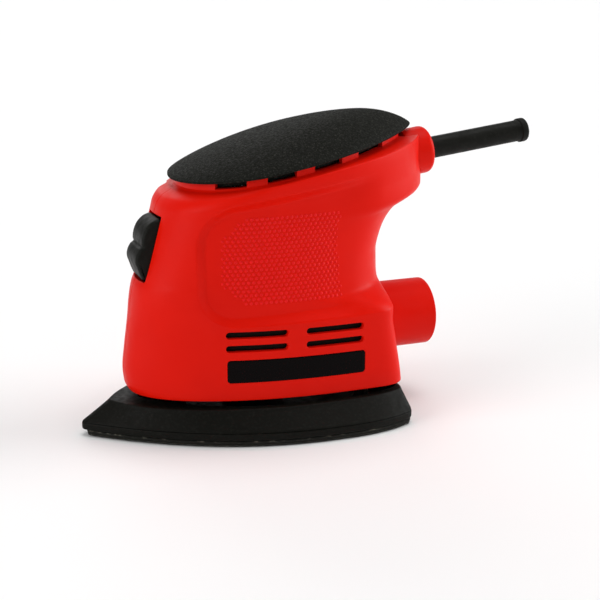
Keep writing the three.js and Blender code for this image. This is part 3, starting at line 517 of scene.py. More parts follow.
class Nodes:
    """A small helper to lay out one material's nodes."""

    def __init__(self, name, color, roughness, metallic=0.0, **sockets):
        self.material = bpy.data.materials.new(name)
        self.material.use_nodes = True
        self.tree = self.material.node_tree
        self.join = self.tree.links.new
        self.shader = self.tree.nodes["Principled BSDF"]
        self.coordinates = self.tree.nodes.new("ShaderNodeTexCoord").outputs["Object"]
        self.set("Base Color", (*color, 1))
        self.set("Roughness", roughness)
        self.set("Metallic", metallic)
        for socket, value in sockets.items():
            self.set(socket.replace("_", " "), value)
        self.normal = None

    def set(self, socket, value):
        self.shader.inputs[socket].default_value = value

    def node(self, kind, **values):
        node = self.tree.nodes.new(kind)
        for key, value in values.items():
            if key in node.inputs:
                node.inputs[key].default_value = value
            else:
                setattr(node, key, value)
        return node

    def scaled(self, scale):
        mapping = self.node("ShaderNodeMapping", Scale=scale)
        self.join(self.coordinates, mapping.inputs["Vector"])
        return mapping.outputs["Vector"]

    def noise(self, scale, detail=3.0, roughness=0.5, stretch=(1, 1, 1)):
        noise = self.node("ShaderNodeTexNoise", Scale=scale, Detail=detail, Roughness=roughness)
        self.join(self.scaled(stretch), noise.inputs["Vector"])
        return noise.outputs["Fac"]

    def cells(self, scale):
        cells = self.node("ShaderNodeTexVoronoi", Scale=scale, feature="F1")
        self.join(self.coordinates, cells.inputs["Vector"])
        return cells.outputs["Distance"]

    def bands(self, scale, distortion=0.0):
        wave = self.node("ShaderNodeTexWave", Scale=scale, Distortion=distortion, bands_direction="Z")
        self.join(self.coordinates, wave.inputs["Vector"])
        return wave.outputs["Fac"]

    def spread(self, fac, low, high, out_low, out_high):
        """fac from low..high to out_low..out_high, clamped."""
        ramp = self.node("ShaderNodeMapRange")
        for key, value in zip(("From Min", "From Max", "To Min", "To Max"), (low, high, out_low, out_high)):
            ramp.inputs[key].default_value = value
        self.join(fac, ramp.inputs["Value"])
        return ramp.outputs["Result"]

    def height(self, low, high):
        """0 below low, 1 above high, both in metres along Z."""
        axes = self.node("ShaderNodeSeparateXYZ")
        self.join(self.coordinates, axes.inputs["Vector"])
        return self.spread(axes.outputs["Z"], low, high, 0, 1)

    def product(self, first, second):
        both = self.node("ShaderNodeMath", operation="MULTIPLY")
        self.join(first, both.inputs[0])
        self.join(second, both.inputs[1])
        return both.outputs[0]

    def roughness(self, fac, low, high, out_low, out_high):
        self.join(self.spread(fac, low, high, out_low, out_high), self.shader.inputs["Roughness"])
        return self

    def tint(self, fac, low, high, color):
        """Mixes another colour in where fac goes from low to high."""
        mix = self.node("ShaderNodeMix", data_type="RGBA")
        socket = self.shader.inputs["Base Color"]
        first, second = mix.inputs[6], mix.inputs[7]
        if socket.links:
            self.join(socket.links[0].from_socket, first)
        else:
            first.default_value = socket.default_value
        second.default_value = (*color, 1)
        self.join(self.spread(fac, low, high, 0, 1), mix.inputs[0])
        self.join(mix.outputs[2], socket)
        return self

    def bump(self, fac, height_mm, strength=1.0):
        bump = self.node("ShaderNodeBump", Strength=strength, Distance=height_mm * MM)
        self.join(fac, bump.inputs["Height"])
        if self.normal:
            self.join(self.normal, bump.inputs["Normal"])
        self.normal = bump.outputs["Normal"]
        self.join(self.normal, self.shader.inputs["Normal"])
        return self


def make_dot_material():
    """The grip dots are the housing's own plastic, coloured a little lighter as a painted highlight on the
    bumps.
    """
    sheen_and_wear = Nodes("red_plastic_dots", (0.8, 0.009, 0.01), 0.4, Specular_IOR_Level=0.12)
    sheen_and_wear.tint(sheen_and_wear.noise(900, 3), 0.5, 0.75, (0.74, 0.006, 0.006))
    sheen_and_wear.roughness(sheen_and_wear.noise(300, 3), 0.35, 0.65, 0.34, 0.48).bump(sheen_and_wear.noise(2400, 2), 0.006)
    return sheen_and_wear.material


def make_materials():
    red = Nodes("red_plastic", (0.74, 0.0065, 0.0008), 0.42, Specular_IOR_Level=0.08)
    red.roughness(red.noise(220, 4), 0.35, 0.65, 0.36, 0.46)
    red.tint(red.noise(30, 3), 0.45, 0.75, (0.70, 0.0055, 0.0007))
    red.bump(red.noise(2600, 2), 0.006).bump(red.noise(420, 2), 0.012)

    cover = Nodes("textured_black", (0.0045, 0.0048, 0.003), 0.7, Specular_IOR_Level=0.1)
    grain = cover.cells(1500)
    # lighter speckles: painted glints on the spark texture
    cover.tint(cover.noise(1300, 2, 0.6), 0.55, 0.72, (0.03, 0.03, 0.024))
    cover.roughness(cover.noise(900, 3), 0.35, 0.65, 0.6, 0.85)
    cover.bump(grain, 0.09).bump(cover.noise(1100, 4, 0.7), 0.12)

    black = Nodes("black_plastic", (0.0035, 0.0035, 0.0022), 0.5, Specular_IOR_Level=0.1)
    black.tint(black.noise(900, 3), 0.5, 0.75, (0.009, 0.009, 0.007))
    black.roughness(black.noise(400, 4), 0.35, 0.65, 0.45, 0.62)
    black.bump(black.noise(1600, 3), 0.03)

    label = Nodes("label_black", (0.002, 0.001, 0.001), 0.3, Specular_IOR_Level=0.05)
    label.roughness(label.noise(500, 3), 0.4, 0.7, 0.2, 0.34)
    label.bump(label.noise(250, 2), 0.008)

    rubber = Nodes("rubber_black", (0.0045, 0.0045, 0.003), 0.45, Specular_IOR_Level=0.12)
    rubber.tint(rubber.noise(600, 4), 0.5, 0.8, (0.01, 0.01, 0.008))
    rubber.roughness(rubber.noise(260, 4), 0.35, 0.65, 0.42, 0.6)
    rubber.bump(rubber.noise(1500, 3), 0.02)

    foam = Nodes("pad_foam", (0.01, 0.01, 0.008), 0.9, Specular_IOR_Level=0.2)
    foam.tint(foam.noise(1200, 3), 0.55, 0.7, (0.035, 0.035, 0.028))
    # a lighter speckled band round the pad's edge, 1.8 to 2.4 mm up
    pale_edge_band = foam.product(foam.height(0.0018, 0.0024), foam.spread(foam.noise(150, 5, 0.75), 0.54, 0.66, 0, 1))
    foam.tint(pale_edge_band, 0, 1, (0.2, 0.19, 0.15))
    foam.bump(foam.cells(1900), 0.25).roughness(foam.noise(700, 3), 0.3, 0.7, 0.8, 0.95)

    hooks = Nodes("hook_fabric", (0.012, 0.012, 0.009), 0.6, Specular_IOR_Level=0.3)
    hooks.tint(hooks.noise(1400, 2), 0.5, 0.7, (0.05, 0.046, 0.03))
    hooks.bump(hooks.noise(2200, 3), 0.06).roughness(hooks.noise(900, 3), 0.3, 0.7, 0.6, 0.85)

    steel = Nodes("steel", (0.56, 0.57, 0.59), 0.3, 1.0)
    steel.roughness(steel.noise(700, 4, stretch=(1, 1, 8)), 0.3, 0.7, 0.22, 0.42)
    steel.bump(steel.noise(900, 3, stretch=(1, 1, 10)), 0.012)
    steel.tint(steel.noise(160, 3), 0.5, 0.8, (0.42, 0.43, 0.45))

    lamination = Nodes("lamination", (0.26, 0.27, 0.28), 0.42, 1.0)
    sheets = lamination.bands(640)
    lamination.tint(sheets, 0.6, 1.0, (0.08, 0.08, 0.09)).bump(sheets, 0.08)
    lamination.roughness(lamination.noise(300, 4), 0.3, 0.7, 0.35, 0.6)

    copper = Nodes("copper", (0.62, 0.22, 0.08), 0.32, 1.0, Coat_Weight=0.5, Coat_Roughness=0.2)
    turns = copper.bands(520, distortion=0.6)
    copper.tint(turns, 0.55, 1.0, (0.24, 0.07, 0.03)).bump(turns, 0.2)
    copper.roughness(copper.noise(400, 3), 0.3, 0.7, 0.25, 0.45)

    brass = Nodes("brass", (0.62, 0.44, 0.17), 0.3, 1.0)
    brass.tint(brass.noise(200, 4), 0.5, 0.8, (0.42, 0.27, 0.1))
    brass.roughness(brass.noise(800, 4, stretch=(6, 1, 1)), 0.3, 0.7, 0.25, 0.45)
    brass.bump(brass.noise(900, 3, stretch=(8, 1, 1)), 0.01)

    carbon = Nodes("carbon", (0.03, 0.03, 0.034), 0.5)
    carbon.tint(carbon.noise(1500, 3), 0.55, 0.7, (0.1, 0.1, 0.11))
    carbon.bump(carbon.noise(1300, 4), 0.05).roughness(carbon.noise(600, 3), 0.3, 0.7, 0.4, 0.65)

    blades = Nodes("fan_plastic", (0.02, 0.021, 0.023), 0.5)
    blades.tint(blades.noise(500, 4), 0.5, 0.8, (0.034, 0.035, 0.037))
    blades.bump(blades.noise(1200, 3), 0.02).roughness(blades.noise(300, 3), 0.3, 0.7, 0.42, 0.6)

    zinc = Nodes("zinc", (0.47, 0.48, 0.5), 0.42, 1.0)
    zinc.tint(zinc.noise(260, 5), 0.5, 0.75, (0.3, 0.31, 0.33))
    zinc.bump(zinc.noise(1000, 5, 0.6), 0.05).roughness(zinc.noise(500, 4), 0.3, 0.7, 0.35, 0.6)

    yellow = Nodes("capacitor_yellow", (0.66, 0.4, 0.05), 0.35)
    yellow.tint(yellow.noise(150, 3), 0.5, 0.8, (0.55, 0.31, 0.04))
    yellow.bump(yellow.noise(1400, 2), 0.015).roughness(yellow.noise(300, 3), 0.3, 0.7, 0.3, 0.45)

    wires = {}
    for name, color, sheen_and_wear in (
        ("wire_blue", (0.03, 0.11, 0.42), (0.02, 0.08, 0.33)),
        ("wire_brown", (0.14, 0.055, 0.02), (0.1, 0.04, 0.015)),
    ):
        wire = Nodes(name, color, 0.4)
        wire.tint(wire.noise(400, 3), 0.5, 0.8, sheen_and_wear)
        wire.bump(wire.noise(1200, 2), 0.02).roughness(wire.noise(300, 3), 0.3, 0.7, 0.35, 0.5)
        wires[name] = wire

    made = dict(red_plastic=red, textured_black=cover, black_plastic=black, label_black=label,
                rubber_black=rubber, pad_foam=foam, hook_fabric=hooks, steel=steel, lamination=lamination,
                copper=copper, brass=brass, carbon=carbon, fan_plastic=blades, zinc=zinc,
                capacitor_yellow=yellow, **wires)
    return {name: nodes.material for name, nodes in made.items()}


MATERIALS = make_materials()
DOT_RED = make_dot_material()


def paint_cad_nodes():
    """Every CAD node gets its slot's material; the ones that stay hidden keep it too."""
    for part in frame["record"]["subparts"]:
        mesh = frame["nodes"][part["node"]].data
        mesh.materials.clear()
        mesh.materials.append(MATERIALS[part["material_slot"]])


def add(name, part, body, slot, replaces=(), **options):
    return piece(name, part, body, slot, MATERIALS[slot], replaces, **options)


# ---- body halves


def ring_shares():
    """Shares of a half ring's length: fine at the seam, then about every half millimetre."""
    count = 330
    even = np.linspace(0, 1, count)
    step = even[1]
    edge = np.array([0, 0.12, 0.3, 0.55]) * step
    return np.concatenate([edge, even[1:-1], (1 - edge)[::-1]])


def body_levels():
    return np.concatenate([
        FOOT_LEVELS,
        np.arange(19.5, 108.4, 0.55),
        np.arange(108.6, SHOULDER_LEVEL + 0.01, 0.25),
    ])


def body_half_part():
    """The right half of the shell, closed, before its openings."""
    shares = ring_shares()
    ends = np.minimum(shares, 1 - shares) * HALF_RING_LENGTH
    at_seam = SEAM_EASE * np.clip(1 - ends / SEAM_EASE, 0, 1) ** 2
    levels = body_levels()
    at_foot = dict(zip(FOOT_LEVELS, FOOT_INSETS))
    rings = [body_half_ring(h, shares, at_foot.get(float(h), 0.0) + at_seam) for h in levels]
    brim = rings[-1]
    foot = egg_half_ring(NECK_INSET + 0.2, -2.95, shares)
    for t in (0.2, 0.4, 0.6, 0.8, 1.0):
        sag = 0.25 * math.sin(math.pi * t)
        ring = brim + (foot - brim) * t
        ring[:, 2] -= sag
        rings.append(ring)
    rings.append(egg_half_ring(NECK_INSET + 2.2, -2.9, shares))
    outer_rows = len(rings)

    column_pick = list(range(0, len(shares) - 1, 6)) + [len(shares) - 1]
    row_pick = list(range(0, outer_rows - 1, 6)) + [outer_rows - 1]
    coarse = shares[column_pick]
    inner = []
    for row in row_pick:
        if row < len(levels) and levels[row] < 108:
            inner.append(body_half_ring(levels[row], coarse, WALL))
        elif row == outer_rows - 1:
            inner.append(egg_half_ring(NECK_INSET + 2.2, -5.0, coarse))
        else:
            level = min(levels[min(row, len(levels) - 1)], 110.2)
            inner.append(body_half_ring(level - 1.2, coarse, WALL + 0.4))
    inner[-2] = inner[-2] * 0.5 + inner[-1] * 0.5
    points = np.concatenate(rings + inner)
    columns, coarse_columns = len(shares), len(column_pick)
    base = outer_rows * columns
    faces = grid_faces(outer_rows, columns)
    faces += grid_faces(len(row_pick), coarse_columns, start=base, flip=True)
    for k in range(len(row_pick) - 1):
        rows = range(row_pick[k], row_pick[k + 1] + 1)
        for column, inner_column, flip in ((0, 0, True), (columns - 1, coarse_columns - 1, False)):
            face = [r * columns + column for r in rows]
            face += [base + (k + 1) * coarse_columns + inner_column, base + k * coarse_columns + inner_column]
            faces.append(face[::-1] if flip else face)
    for k in range(coarse_columns - 1):
        run = range(column_pick[k], column_pick[k + 1] + 1)
        low = list(run) + [base + k + 1, base + k]
        faces.append(low[::-1])
        top = [(outer_rows - 1) * columns + c for c in run]
        inner_top = base + (len(row_pick) - 1) * coarse_columns
        faces.append(top + [inner_top + k + 1, inner_top + k])
    return points, faces


def circle_line(radius, count=40):
    angle = np.arange(count) * 2 * math.pi / count
    return np.stack([radius * np.cos(angle), radius * np.sin(angle)], 1)


def slot_line():
    return rounded_box_line(SLOT_LENGTH / 2, SLOT_HEIGHT / 2, SLOT_HEIGHT / 2 - 0.01)


PLATE_MIDDLE = ((PLATE["front"] + PLATE["rear"]) / 2, (PLATE["low"] + PLATE["high"]) / 2)
PLATE_HALF = ((PLATE["rear"] - PLATE["front"]) / 2, (PLATE["high"] - PLATE["low"]) / 2)


def body_cutters():
    cutters = [plug(slot_line(), flare(0.3, 5), on_side(x, z)) for x, z in SLOTS]
    pocket = rounded_box_line(*PLATE_HALF, 1.5)
    cutters.append(plug(pocket, flare(0.25, 0.55), on_side(*PLATE_MIDDLE)))
    opening = rounded_box_line(SWITCH["half"] + 0.35, 14.6, 0.8)
    cutters.append(plug(opening, flare(0.35, 14, above=3), on_nose))
    port = turned([(0, 45), (PORT["outer"] + 0.5, 45), (PORT["outer"] + 0.5, 90), (0, 90)], 96)
    cutters.append(moved(port, PORT_FRAME))
    collar = turned([(0, -14), (COLLAR["outer"] + 0.3, -14), (COLLAR["outer"] + 0.3, 30), (0, 30)], 96)
    cutters.append(moved(collar, CORD_FRAME))
    return cutters


def from_side(x, y, z):
    """A frame at (x, y, z) whose Z points out of the right side."""
    return Matrix.Translation((x, y, z)) @ Matrix.Rotation(-math.pi / 2, 4, "X")


def screw_wells():
    """Counterbores on the right side, and the tubes that lead down to the screw heads."""
    cutters, tubes = [], []
    well = SCREW_WELL
    inner, outer, bore = well["inner"], well["outer"], well["bore"]
    start, floor = well["start"], well["floor"]
    for x, z in BODY_SCREWS:
        cutters.append(plug(circle_line(3.4), flare(0.5, 6), on_side(x, z)))
        surface = float(body_side(np.array([x]), level_of(np.array([x]), np.array([z])))[0])
        top = surface - well["sunk"]
        profile = [(inner, start), (outer, start), (outer, top), (bore, top), (bore, floor), (inner, floor),
                   (inner, start)]
        points, faces = moved(turned(rounded(profile, 0.2, 2), 40), from_side(x, 0, z))
        mouth = points[:, 1] > floor + 0.8
        at_x, at_z = points[mouth, 0], points[mouth, 2]
        points[mouth, 1] += body_side(at_x, level_of(at_x, at_z)) - surface
        tubes.append((points, faces))
    return cutters, tubes


def tab_part(front, rear):
    """One red tab between deck and cover, following the neck; the end ones wrap round nose or tail."""
    line = egg_line(NECK_INSET)
    x = line[:, 0]
    inside = (x >= front) & (x <= rear)
    run = line[inside]
    if front > -40:
        run = np.concatenate([run, [[front, float(neck_half(np.array(front), NECK_INSET))]]])
    if rear < 74:
        run = np.concatenate([[[rear, float(neck_half(np.array(rear), NECK_INSET))]], run])
    count = max(8, int(np.hypot(*np.diff(run, axis=0).T).sum()))
    run = spaced(run, np.linspace(0, 1, count))
    along = np.gradient(run, axis=0)
    along /= np.linalg.norm(along, axis=1, keepdims=True)
    inward = np.stack([-along[:, 1], along[:, 0]], 1)
    section = rounded([(0.0, -3.4), (0.0, -0.35), (2.0, -0.35), (2.0, -3.4), (0.0, -3.4)], 0.18, 3)[:-1]
    section = section + [(1.0, -3.4)]
    rings = []
    for i in range(count):
        flat = run[i] + inward[i] * np.array([[d] for d, _ in section])
        flat[:, 1] = np.maximum(flat[:, 1], 0) + SEAM / 2
        z = COVER_LEVEL + COVER_SLOPE * flat[:, 0] + np.array([height for _, height in section])
        rings.append(np.column_stack([flat, z]))
    return skin(rings)


def build_body():
    shell = body_half_part()
    tabs = [tab_part(*ends) for ends in TABS]
    cutters = body_cutters()
    wells, tubes = screw_wells()
    for side, name in ((-1, "left_housing"), (1, "right_housing")):
        turn = mirrored if side < 0 else (lambda part: part)
        mesh = mesh_from(name + "_shell", *turn(shell))
        tidy_mesh(mesh)
        cutting = [turn(cutter) for cutter in cutters] + (wells if side > 0 else [])
        mesh = cut(mesh, cutting)
        mesh.name = name + "_shell"
        smooth(mesh, 32)
        obj = link(name + "_shell", mesh)
        mesh.materials.clear()
        mesh.materials.append(MATERIALS["red_plastic"])
        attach(obj, "housing")
        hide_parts(name)
        short = name.split("_")[0]
        add(short + "_cover_tabs", joined(*[turn(tab) for tab in tabs]), "housing", "red_plastic")
        piece(short + "_grip_dots", turn(grip_dots()), "housing", "red_plastic", DOT_RED, weld=1e-7)
    add("right_screw_wells", joined(*tubes), "housing", "red_plastic")


def grip_dots():
    """A hexagonal field of low round bumps in the grip recess."""
    left = smooth_run([(58, -8), (60.5, -14), (62.8, -15.4), (67, -20.3), (72, -23.5), (86, -23.5),
                       (97.1, -15.6), (99, -12)])
    right = smooth_run([(58, 31.6), (59.8, 31.4), (74, 29.7), (87.7, 28.8), (98, 30.1)])
    parts = []
    pitch = GRIP_DOTS["pitch"]
    ring = circle_line(1, 12)
    for row in range(GRIP_DOTS["rows"]):
        z = GRIP_DOTS["low"] + row * GRIP_DOTS["row_step"]
        x = GRIP_DOTS["front"] + (pitch / 2 if row % 2 else 0)
        while x < GRIP_DOTS["rear"]:
            if left(z) <= x <= right(z):
                edge = min(x - left(z), right(z) - x)
                parts.append(dot_at(x, z, ring * min(1.0, 0.75 + edge * 0.08)))
            x += pitch
    return joined(*parts)


def dot_at(x, z, ring):
    place = on_side(x, z)
    loops = []
    for radius, out in DOT_PROFILE:
        loops.append(place(*(ring * radius).T, out))
    return skin(loops)


def label_part():
    line = rounded_box_line(PLATE_HALF[0] - 0.1, PLATE_HALF[1] - 0.1, 1.4)
    layers = [(-0.5, 0), (-0.3, 0), (-0.17, -0.04), (-0.12, -0.16)]
    return plug(line, layers, on_side(*PLATE_MIDDLE), rings=4)


# ---- palm cover


def full_egg_ring(inset, height, scale, count):
    """The cover's whole outline on its leaning plane, drawn in about its middle by scale."""
    half = egg_line(inset)
    whole = np.concatenate([half, half[-2:0:-1] * (1, -1)])
    whole = np.concatenate([whole, whole[:1]])
    flat = spaced(whole, np.arange(count) / count)
    x = DOME["middle"] + (flat[:, 0] - DOME["middle"]) * scale
    y = flat[:, 1] * scale
    return np.stack([x, y, COVER_LEVEL + COVER_SLOPE * x + height], 1)


def cover_part():
    count = 560
    edge = ((1.2, 0.0), (0.5, 0.02), (0.2, 0.14), (0.04, 0.4), (0, 0.7))
    rings = [full_egg_ring(i, h, 1, count) for i, h in edge]
    steps = 70
    for i in range(steps):
        scale = 1 - (i / steps) ** 1.6
        dome = (1 - scale ** DOME["power"]) ** DOME["fullness"]
        rings.append(full_egg_ring(0, COVER["lip"] + (COVER["rise"] - COVER["lip"]) * dome, scale, count))
    rings.append(full_egg_ring(0, COVER["rise"], 0.01, count))
    skirt = ((7.4, 0.0), (7.4, -2.4), (7.2, -2.5), (5.8, -2.5), (5.6, -2.4), (5.6, 0.0))
    under = [full_egg_ring(i, h, 1, count) for i, h in skirt]
    return skin(under + rings)


# ---- switch

ROCKER_FACE = [(-0.4, 13.6), (1.9, 12), (3.7, 9.4), (4.5, 6.7), (4.6, 3.9), (4.1, 1.4), (3.4, 0.2),
               (4.5, -1.4), (5.1, -4.3), (4.6, -6.9), (3, -9.2), (1.2, -11.6), (-0.4, -13.4)]
ROCKER_BACK = [(-3, -13.2), (-7.6, -6), (-7.6, 6), (-3, 13.4)]


def curve_through(points, steps=6):
    """Catmull-Rom curve through 2-D points."""
    p = np.array([points[0]] + list(points) + [points[-1]], float)
    line = []
    for i in range(1, len(p) - 2):
        for k in range(steps):
            t = k / steps
            a, b, c, d = p[i - 1], p[i], p[i + 1], p[i + 2]
            line.append(0.5 * (2 * b + (c - a) * t + (2 * a - 5 * b + 4 * c - d) * t * t
                               + (3 * b - a - 3 * c + d) * t**3))
    line.append(p[-2])
    return np.array(line)


def rocker_part():
    face = curve_through(ROCKER_FACE)
    back = np.array(ROCKER_BACK)
    line = np.concatenate([face, back])[::-1]
    rings = []
    half, edge = SWITCH["half"], 1.5
    sides = [half - edge + edge * math.sin(math.radians(a)) for a in (0, 20, 40, 58, 74, 86)]
    spread = list(np.linspace(0, half - edge, 6)[:-1]) + sides
    for y in [-s for s in reversed(spread[1:])] + spread:
        over = max(0.0, abs(y) - (half - edge))
        inset = edge - math.sqrt(max(0.0, edge * edge - over * over))
        ring = inset_curve(line, inset, "closed")
        crown = 1 - 0.05 * (y / half) ** 2
        u = np.where(ring[:, 0] > 0, ring[:, 0] * crown, ring[:, 0])
        rings.append(np.stack([-u, np.full(len(u), y), ring[:, 1]], 1))
    return moved(skin(rings), SWITCH_FRAME)


# ---- rear fittings


def port_part():
    bore, outer, start, end = PORT["bore"], PORT["outer"], PORT["start"], PORT["end"]
    profile = [(bore, start), (18, start), (18, start + 1.9), (outer, start + 1.9), (outer, end), (bore, end),
               (bore, start)]
    return moved(turned(rounded(profile, [0, 0.2, 0.2, 0.2, 0.5, 0.5, 0], 7), 120), PORT_FRAME)


def collar_part():
    bore = SLEEVE["outer"] + 0.25
    outer, start, end = COLLAR["outer"], COLLAR["start"], COLLAR["end"]
    profile = [(bore, start), (outer, start), (outer, end), (bore, end), (bore, start)]
    return moved(turned(rounded(profile, [0, 0.3, 4.9, 0.5, 0], 12), 96), CORD_FRAME)


def sleeve_part():
    outer, lip, bore = SLEEVE["outer"], SLEEVE["lip"], SLEEVE["bore"]
    start, end = SLEEVE["start"], SLEEVE["end"]
    profile = [(bore, start), (outer + 2.4, start), (outer + 2.4, start + 3), (outer, start + 3),
               (outer, end - 3.4), (lip, end - 3.2), (lip, end), (bore, end), (bore, start)]
    return moved(turned(rounded(profile, [0, 0.3, 0.3, 0.3, 0.15, 0.3, 1.0, 0.4, 0], 6), 72), CORD_FRAME)


# ---- platen


SHARP_TIP = PLATEN["tip"] - TIP["radius"] * (1 / math.sin(TIP["angle"]) - 1)


def flange_half(x, radius):
    centre = SHARP_TIP + radius / math.sin(TIP["angle"])
    round_tip = np.sqrt(np.maximum(0, radius**2 - (x - centre) ** 2))
    ahead = np.clip(PLATEN["widest"] - x, 0, None) / (PLATEN["widest"] - SHARP_TIP)
    behind = np.clip(x - PLATEN["widest"], 0, None) / 72
    side = np.where(x <= PLATEN["widest"], 1 - ahead**2.2, 1 - behind**2.44)
    return np.where(x <= centre - radius * math.sin(TIP["angle"]), round_tip, PLATEN["half"] * side)


def platen_line(radius, count=560):
    """Iron-shaped outline, counter-clockwise from the tip."""
    corner = 6.0
    corner_x = PLATEN["rear"] - corner + 2.3
    tip = SHARP_TIP + radius / math.sin(TIP["angle"]) - radius
    x = tip + (corner_x - tip) * np.linspace(0, 1, 400) ** 2
    side = list(zip(x, flange_half(x, radius)))
    centre_y = side[-1][1] - corner * math.sin(1.18)
    for angle in np.linspace(1.1, 0, 14):
        side.append((PLATEN["rear"] - corner + corner * math.cos(angle), centre_y + corner * math.sin(angle)))
    bulge = 1.5
    for y in np.linspace(centre_y - 2, 0, 12):
        side.append((PLATEN["rear"] + bulge * (1 - (y / 36) ** 2 if abs(y) < 36 else 0), y))
    left = np.array([(x, -y) for x, y in side])
    right = np.array([(x, y) for x, y in side[-2:0:-1]])
    whole = np.concatenate([left, right, left[:1]])
    return spaced(whole, np.arange(count) / count)


PLATEN_LINE = platen_line(TIP["radius"])
PAD_LINE = platen_line(TIP["pad_radius"])


def flat_ring(line, z, inset=0.0):
    flat = inset_curve(line, inset, "closed")
    return np.column_stack([flat, np.full(len(flat), z)])


def along_platen(x):
    return np.clip((x - PLATEN["tip"]) / (PLATEN["rear"] - PLATEN["tip"]), 0, 1)


def skirt_ring(z, blend, inset=0.0):
    """Ring between the flange outline and the rim below the body."""
    x, y = PLATEN_LINE.T
    along = along_platen(x)
    rim_x = x + RIM["tip"] * (1 - along) ** 6 - RIM["rear"] * along**8
    rim_y = y * (RIM["side"] + RIM["front"] * (1 - along) ** 3)
    return flat_ring(np.stack([x + (rim_x - x) * blend, y + (rim_y - y) * blend], 1), z, inset)


def deck_ring(z, inset=0.0):
    """Edge of the opening in the deck, under the body."""
    x, y = PLATEN_LINE.T
    along = along_platen(x)
    open_x = DECK_OPENING["tip"] + along * (DECK_OPENING["rear"] - DECK_OPENING["tip"])
    open_y = y * (DECK_OPENING["side"] + DECK_OPENING["front"] * (1 - along) ** 3)
    return flat_ring(np.stack([open_x, open_y], 1), z, inset)


def base_plate_part():
    rim, low = PLATEN["rim"], PLATEN["deck_bottom"]
    edge = [(2.7, 3), (2.7, 0.9), (2.78, 0.5), (2.95, 0.25), (3.3, 0.03), (3.7, 0), (5.3, 0), (5.75, 0.03),
            (6.0, 0.18), (6.05, 0.5)]
    rings = [flat_ring(PLATEN_LINE, z, inset) for z, inset in edge]
    blend = smooth_run([(6.2, 0.0), (9.2, 0.36), (12.3, 0.72), (14.7, 0.985), (15, 1.0)])
    rings.append(skirt_ring(6.1, 0.0, 0.55))
    for z in np.linspace(6.3, 14.6, 20):
        rings.append(skirt_ring(z, float(blend(z)), 0.15 if z < 6.5 else 0.0))
    rings += [skirt_ring(rim - 0.16, 0.99, 0.1), skirt_ring(rim - 0.04, 1, 0.3), skirt_ring(rim, 1, 0.7)]
    rings += [deck_ring(rim, -0.2), deck_ring(rim - 0.2), deck_ring(low)]
    rings += [skirt_ring(low, 0.83, 2.2), skirt_ring(PLATEN["floor"] + 0.2, 0.25, 3.2),
              skirt_ring(PLATEN["floor"], 0.25, 4)]
    plate = mesh_from("plate", *skin(rings))
    tidy_mesh(plate)
    holes = [turned([(0, 2), (3.7, 2), (3.7, 4.2), (2, 4.8), (2, 9), (0, 9)], 32)] * len(POSTS)
    cutters = [moved(hole, Matrix.Translation((x, y, 0))) for hole, (x, y) in zip(holes, POSTS)]
    cutters.append(moved(turned([(0, 2), (6, 2), (6, 7), (0, 7)], 48), Matrix.Translation((ORBIT, 0, 0))))
    plate = part_of(cut(plate, cutters))
    hub = turned([(11.2, 5.5), (14, 5.5), (14, 13.4), (11.2, 13.4), (11.2, 5.5)], 72)
    seat = turned([(4.6, 5.5), (6.2, 5.5), (6.2, 8), (4.6, 8), (4.6, 5.5)], 36)
    seats = [moved(seat, Matrix.Translation((x, y, 0))) for x, y in POSTS]
    return joined(plate, moved(hub, Matrix.Translation((ORBIT, 0, 0))), *seats)


def foam_part():
    edge = [(1.2, 1.3), (1.25, 0.7), (1.5, 0.48), (2.2, 0.45), (2.5, 0.6), (2.6, 1.2)]
    return skin([flat_ring(PAD_LINE, z, inset) for z, inset in edge])


def hook_part():
    """Backing film and a field of small mushroom hooks below it, with a rim of them that shows."""
    film = ((0.55, 1.1), (0.6, 0.75), (1.05, 0.65), (1.1, 1))
    parts = [skin([flat_ring(PAD_LINE, z, inset) for z, inset in film])]
    ring = circle_line(1, 6)
    rim = flat_ring(PAD_LINE, 0, 1.08)[:, :2]
    closed_rim = np.concatenate([rim, rim[:1]])
    length = np.hypot(*np.diff(closed_rim, axis=0).T).sum()
    around = int(length / HOOKS["rim_pitch"])
    spots = [tuple(p) for p in spaced(closed_rim, np.arange(around) / around)]
    inner = flat_ring(PAD_LINE, 0, 2.2)[:, :2]
    edge_x, edge_y = inner[:, 0], np.abs(inner[:, 1])
    order = np.argsort(edge_x)
    step, rows, scatter = HOOKS["pitch"], HOOKS["rows"], HOOKS["scatter"]
    for row in range(rows):
        y = (row - (rows - 1) / 2) * step
        x = -76 + (step / 2 if row % 2 else 0)
        while x < PLATEN["rear"]:
            if abs(y) < np.interp(x, edge_x[order], edge_y[order]) - 0.4:
                spots.append((x + random.uniform(-scatter, scatter), y + random.uniform(-scatter, scatter)))
            x += step
    for x, y in spots:
        tall = random.uniform(0, 0.12)
        loops = []
        for radius, z in ((0.2, 0.62), (0.17, 0.35), (0.36, 0.2 + tall * 0.5), (0.24, tall)):
            flat = ring * radius + (x, y)
            loops.append(np.column_stack([flat, np.full(len(ring), z)]))
        parts.append(skin(loops))
    return joined(*parts)


# ---- screws


def screw_part():
    """Pan head, its cross recess not yet cut, its head along +Z above zero."""
    head = rounded([(0.001, 2), (1.7, 2), (3, 1.0), (3, 0), (1.5, 0)], [0, 0.8, 0.8, 0.1, 0.1], 4)
    shank = []
    for turn in range(14):
        z = -1.0 - turn
        shank += [(1.15, z), (1.5, z - 0.35), (1.15, z - 0.7)]
    shank += [(0.6, -16.2), (0.001, -17)]
    return turned(head + [(1.2, -0.1)] + shank, 40)


def cross_cutter():
    bars = []
    for angle in (0, math.pi / 2):
        line = [(-1.8, 2.6), (1.8, 2.6), (0.35, 0.7), (-0.35, 0.7)]
        rings = [np.array([(x, y, z) for x, z in line]) for y in (-0.36, 0.36)]
        bars.append(moved(skin(rings), Matrix.Rotation(angle, 4, "Z")))
    return bars


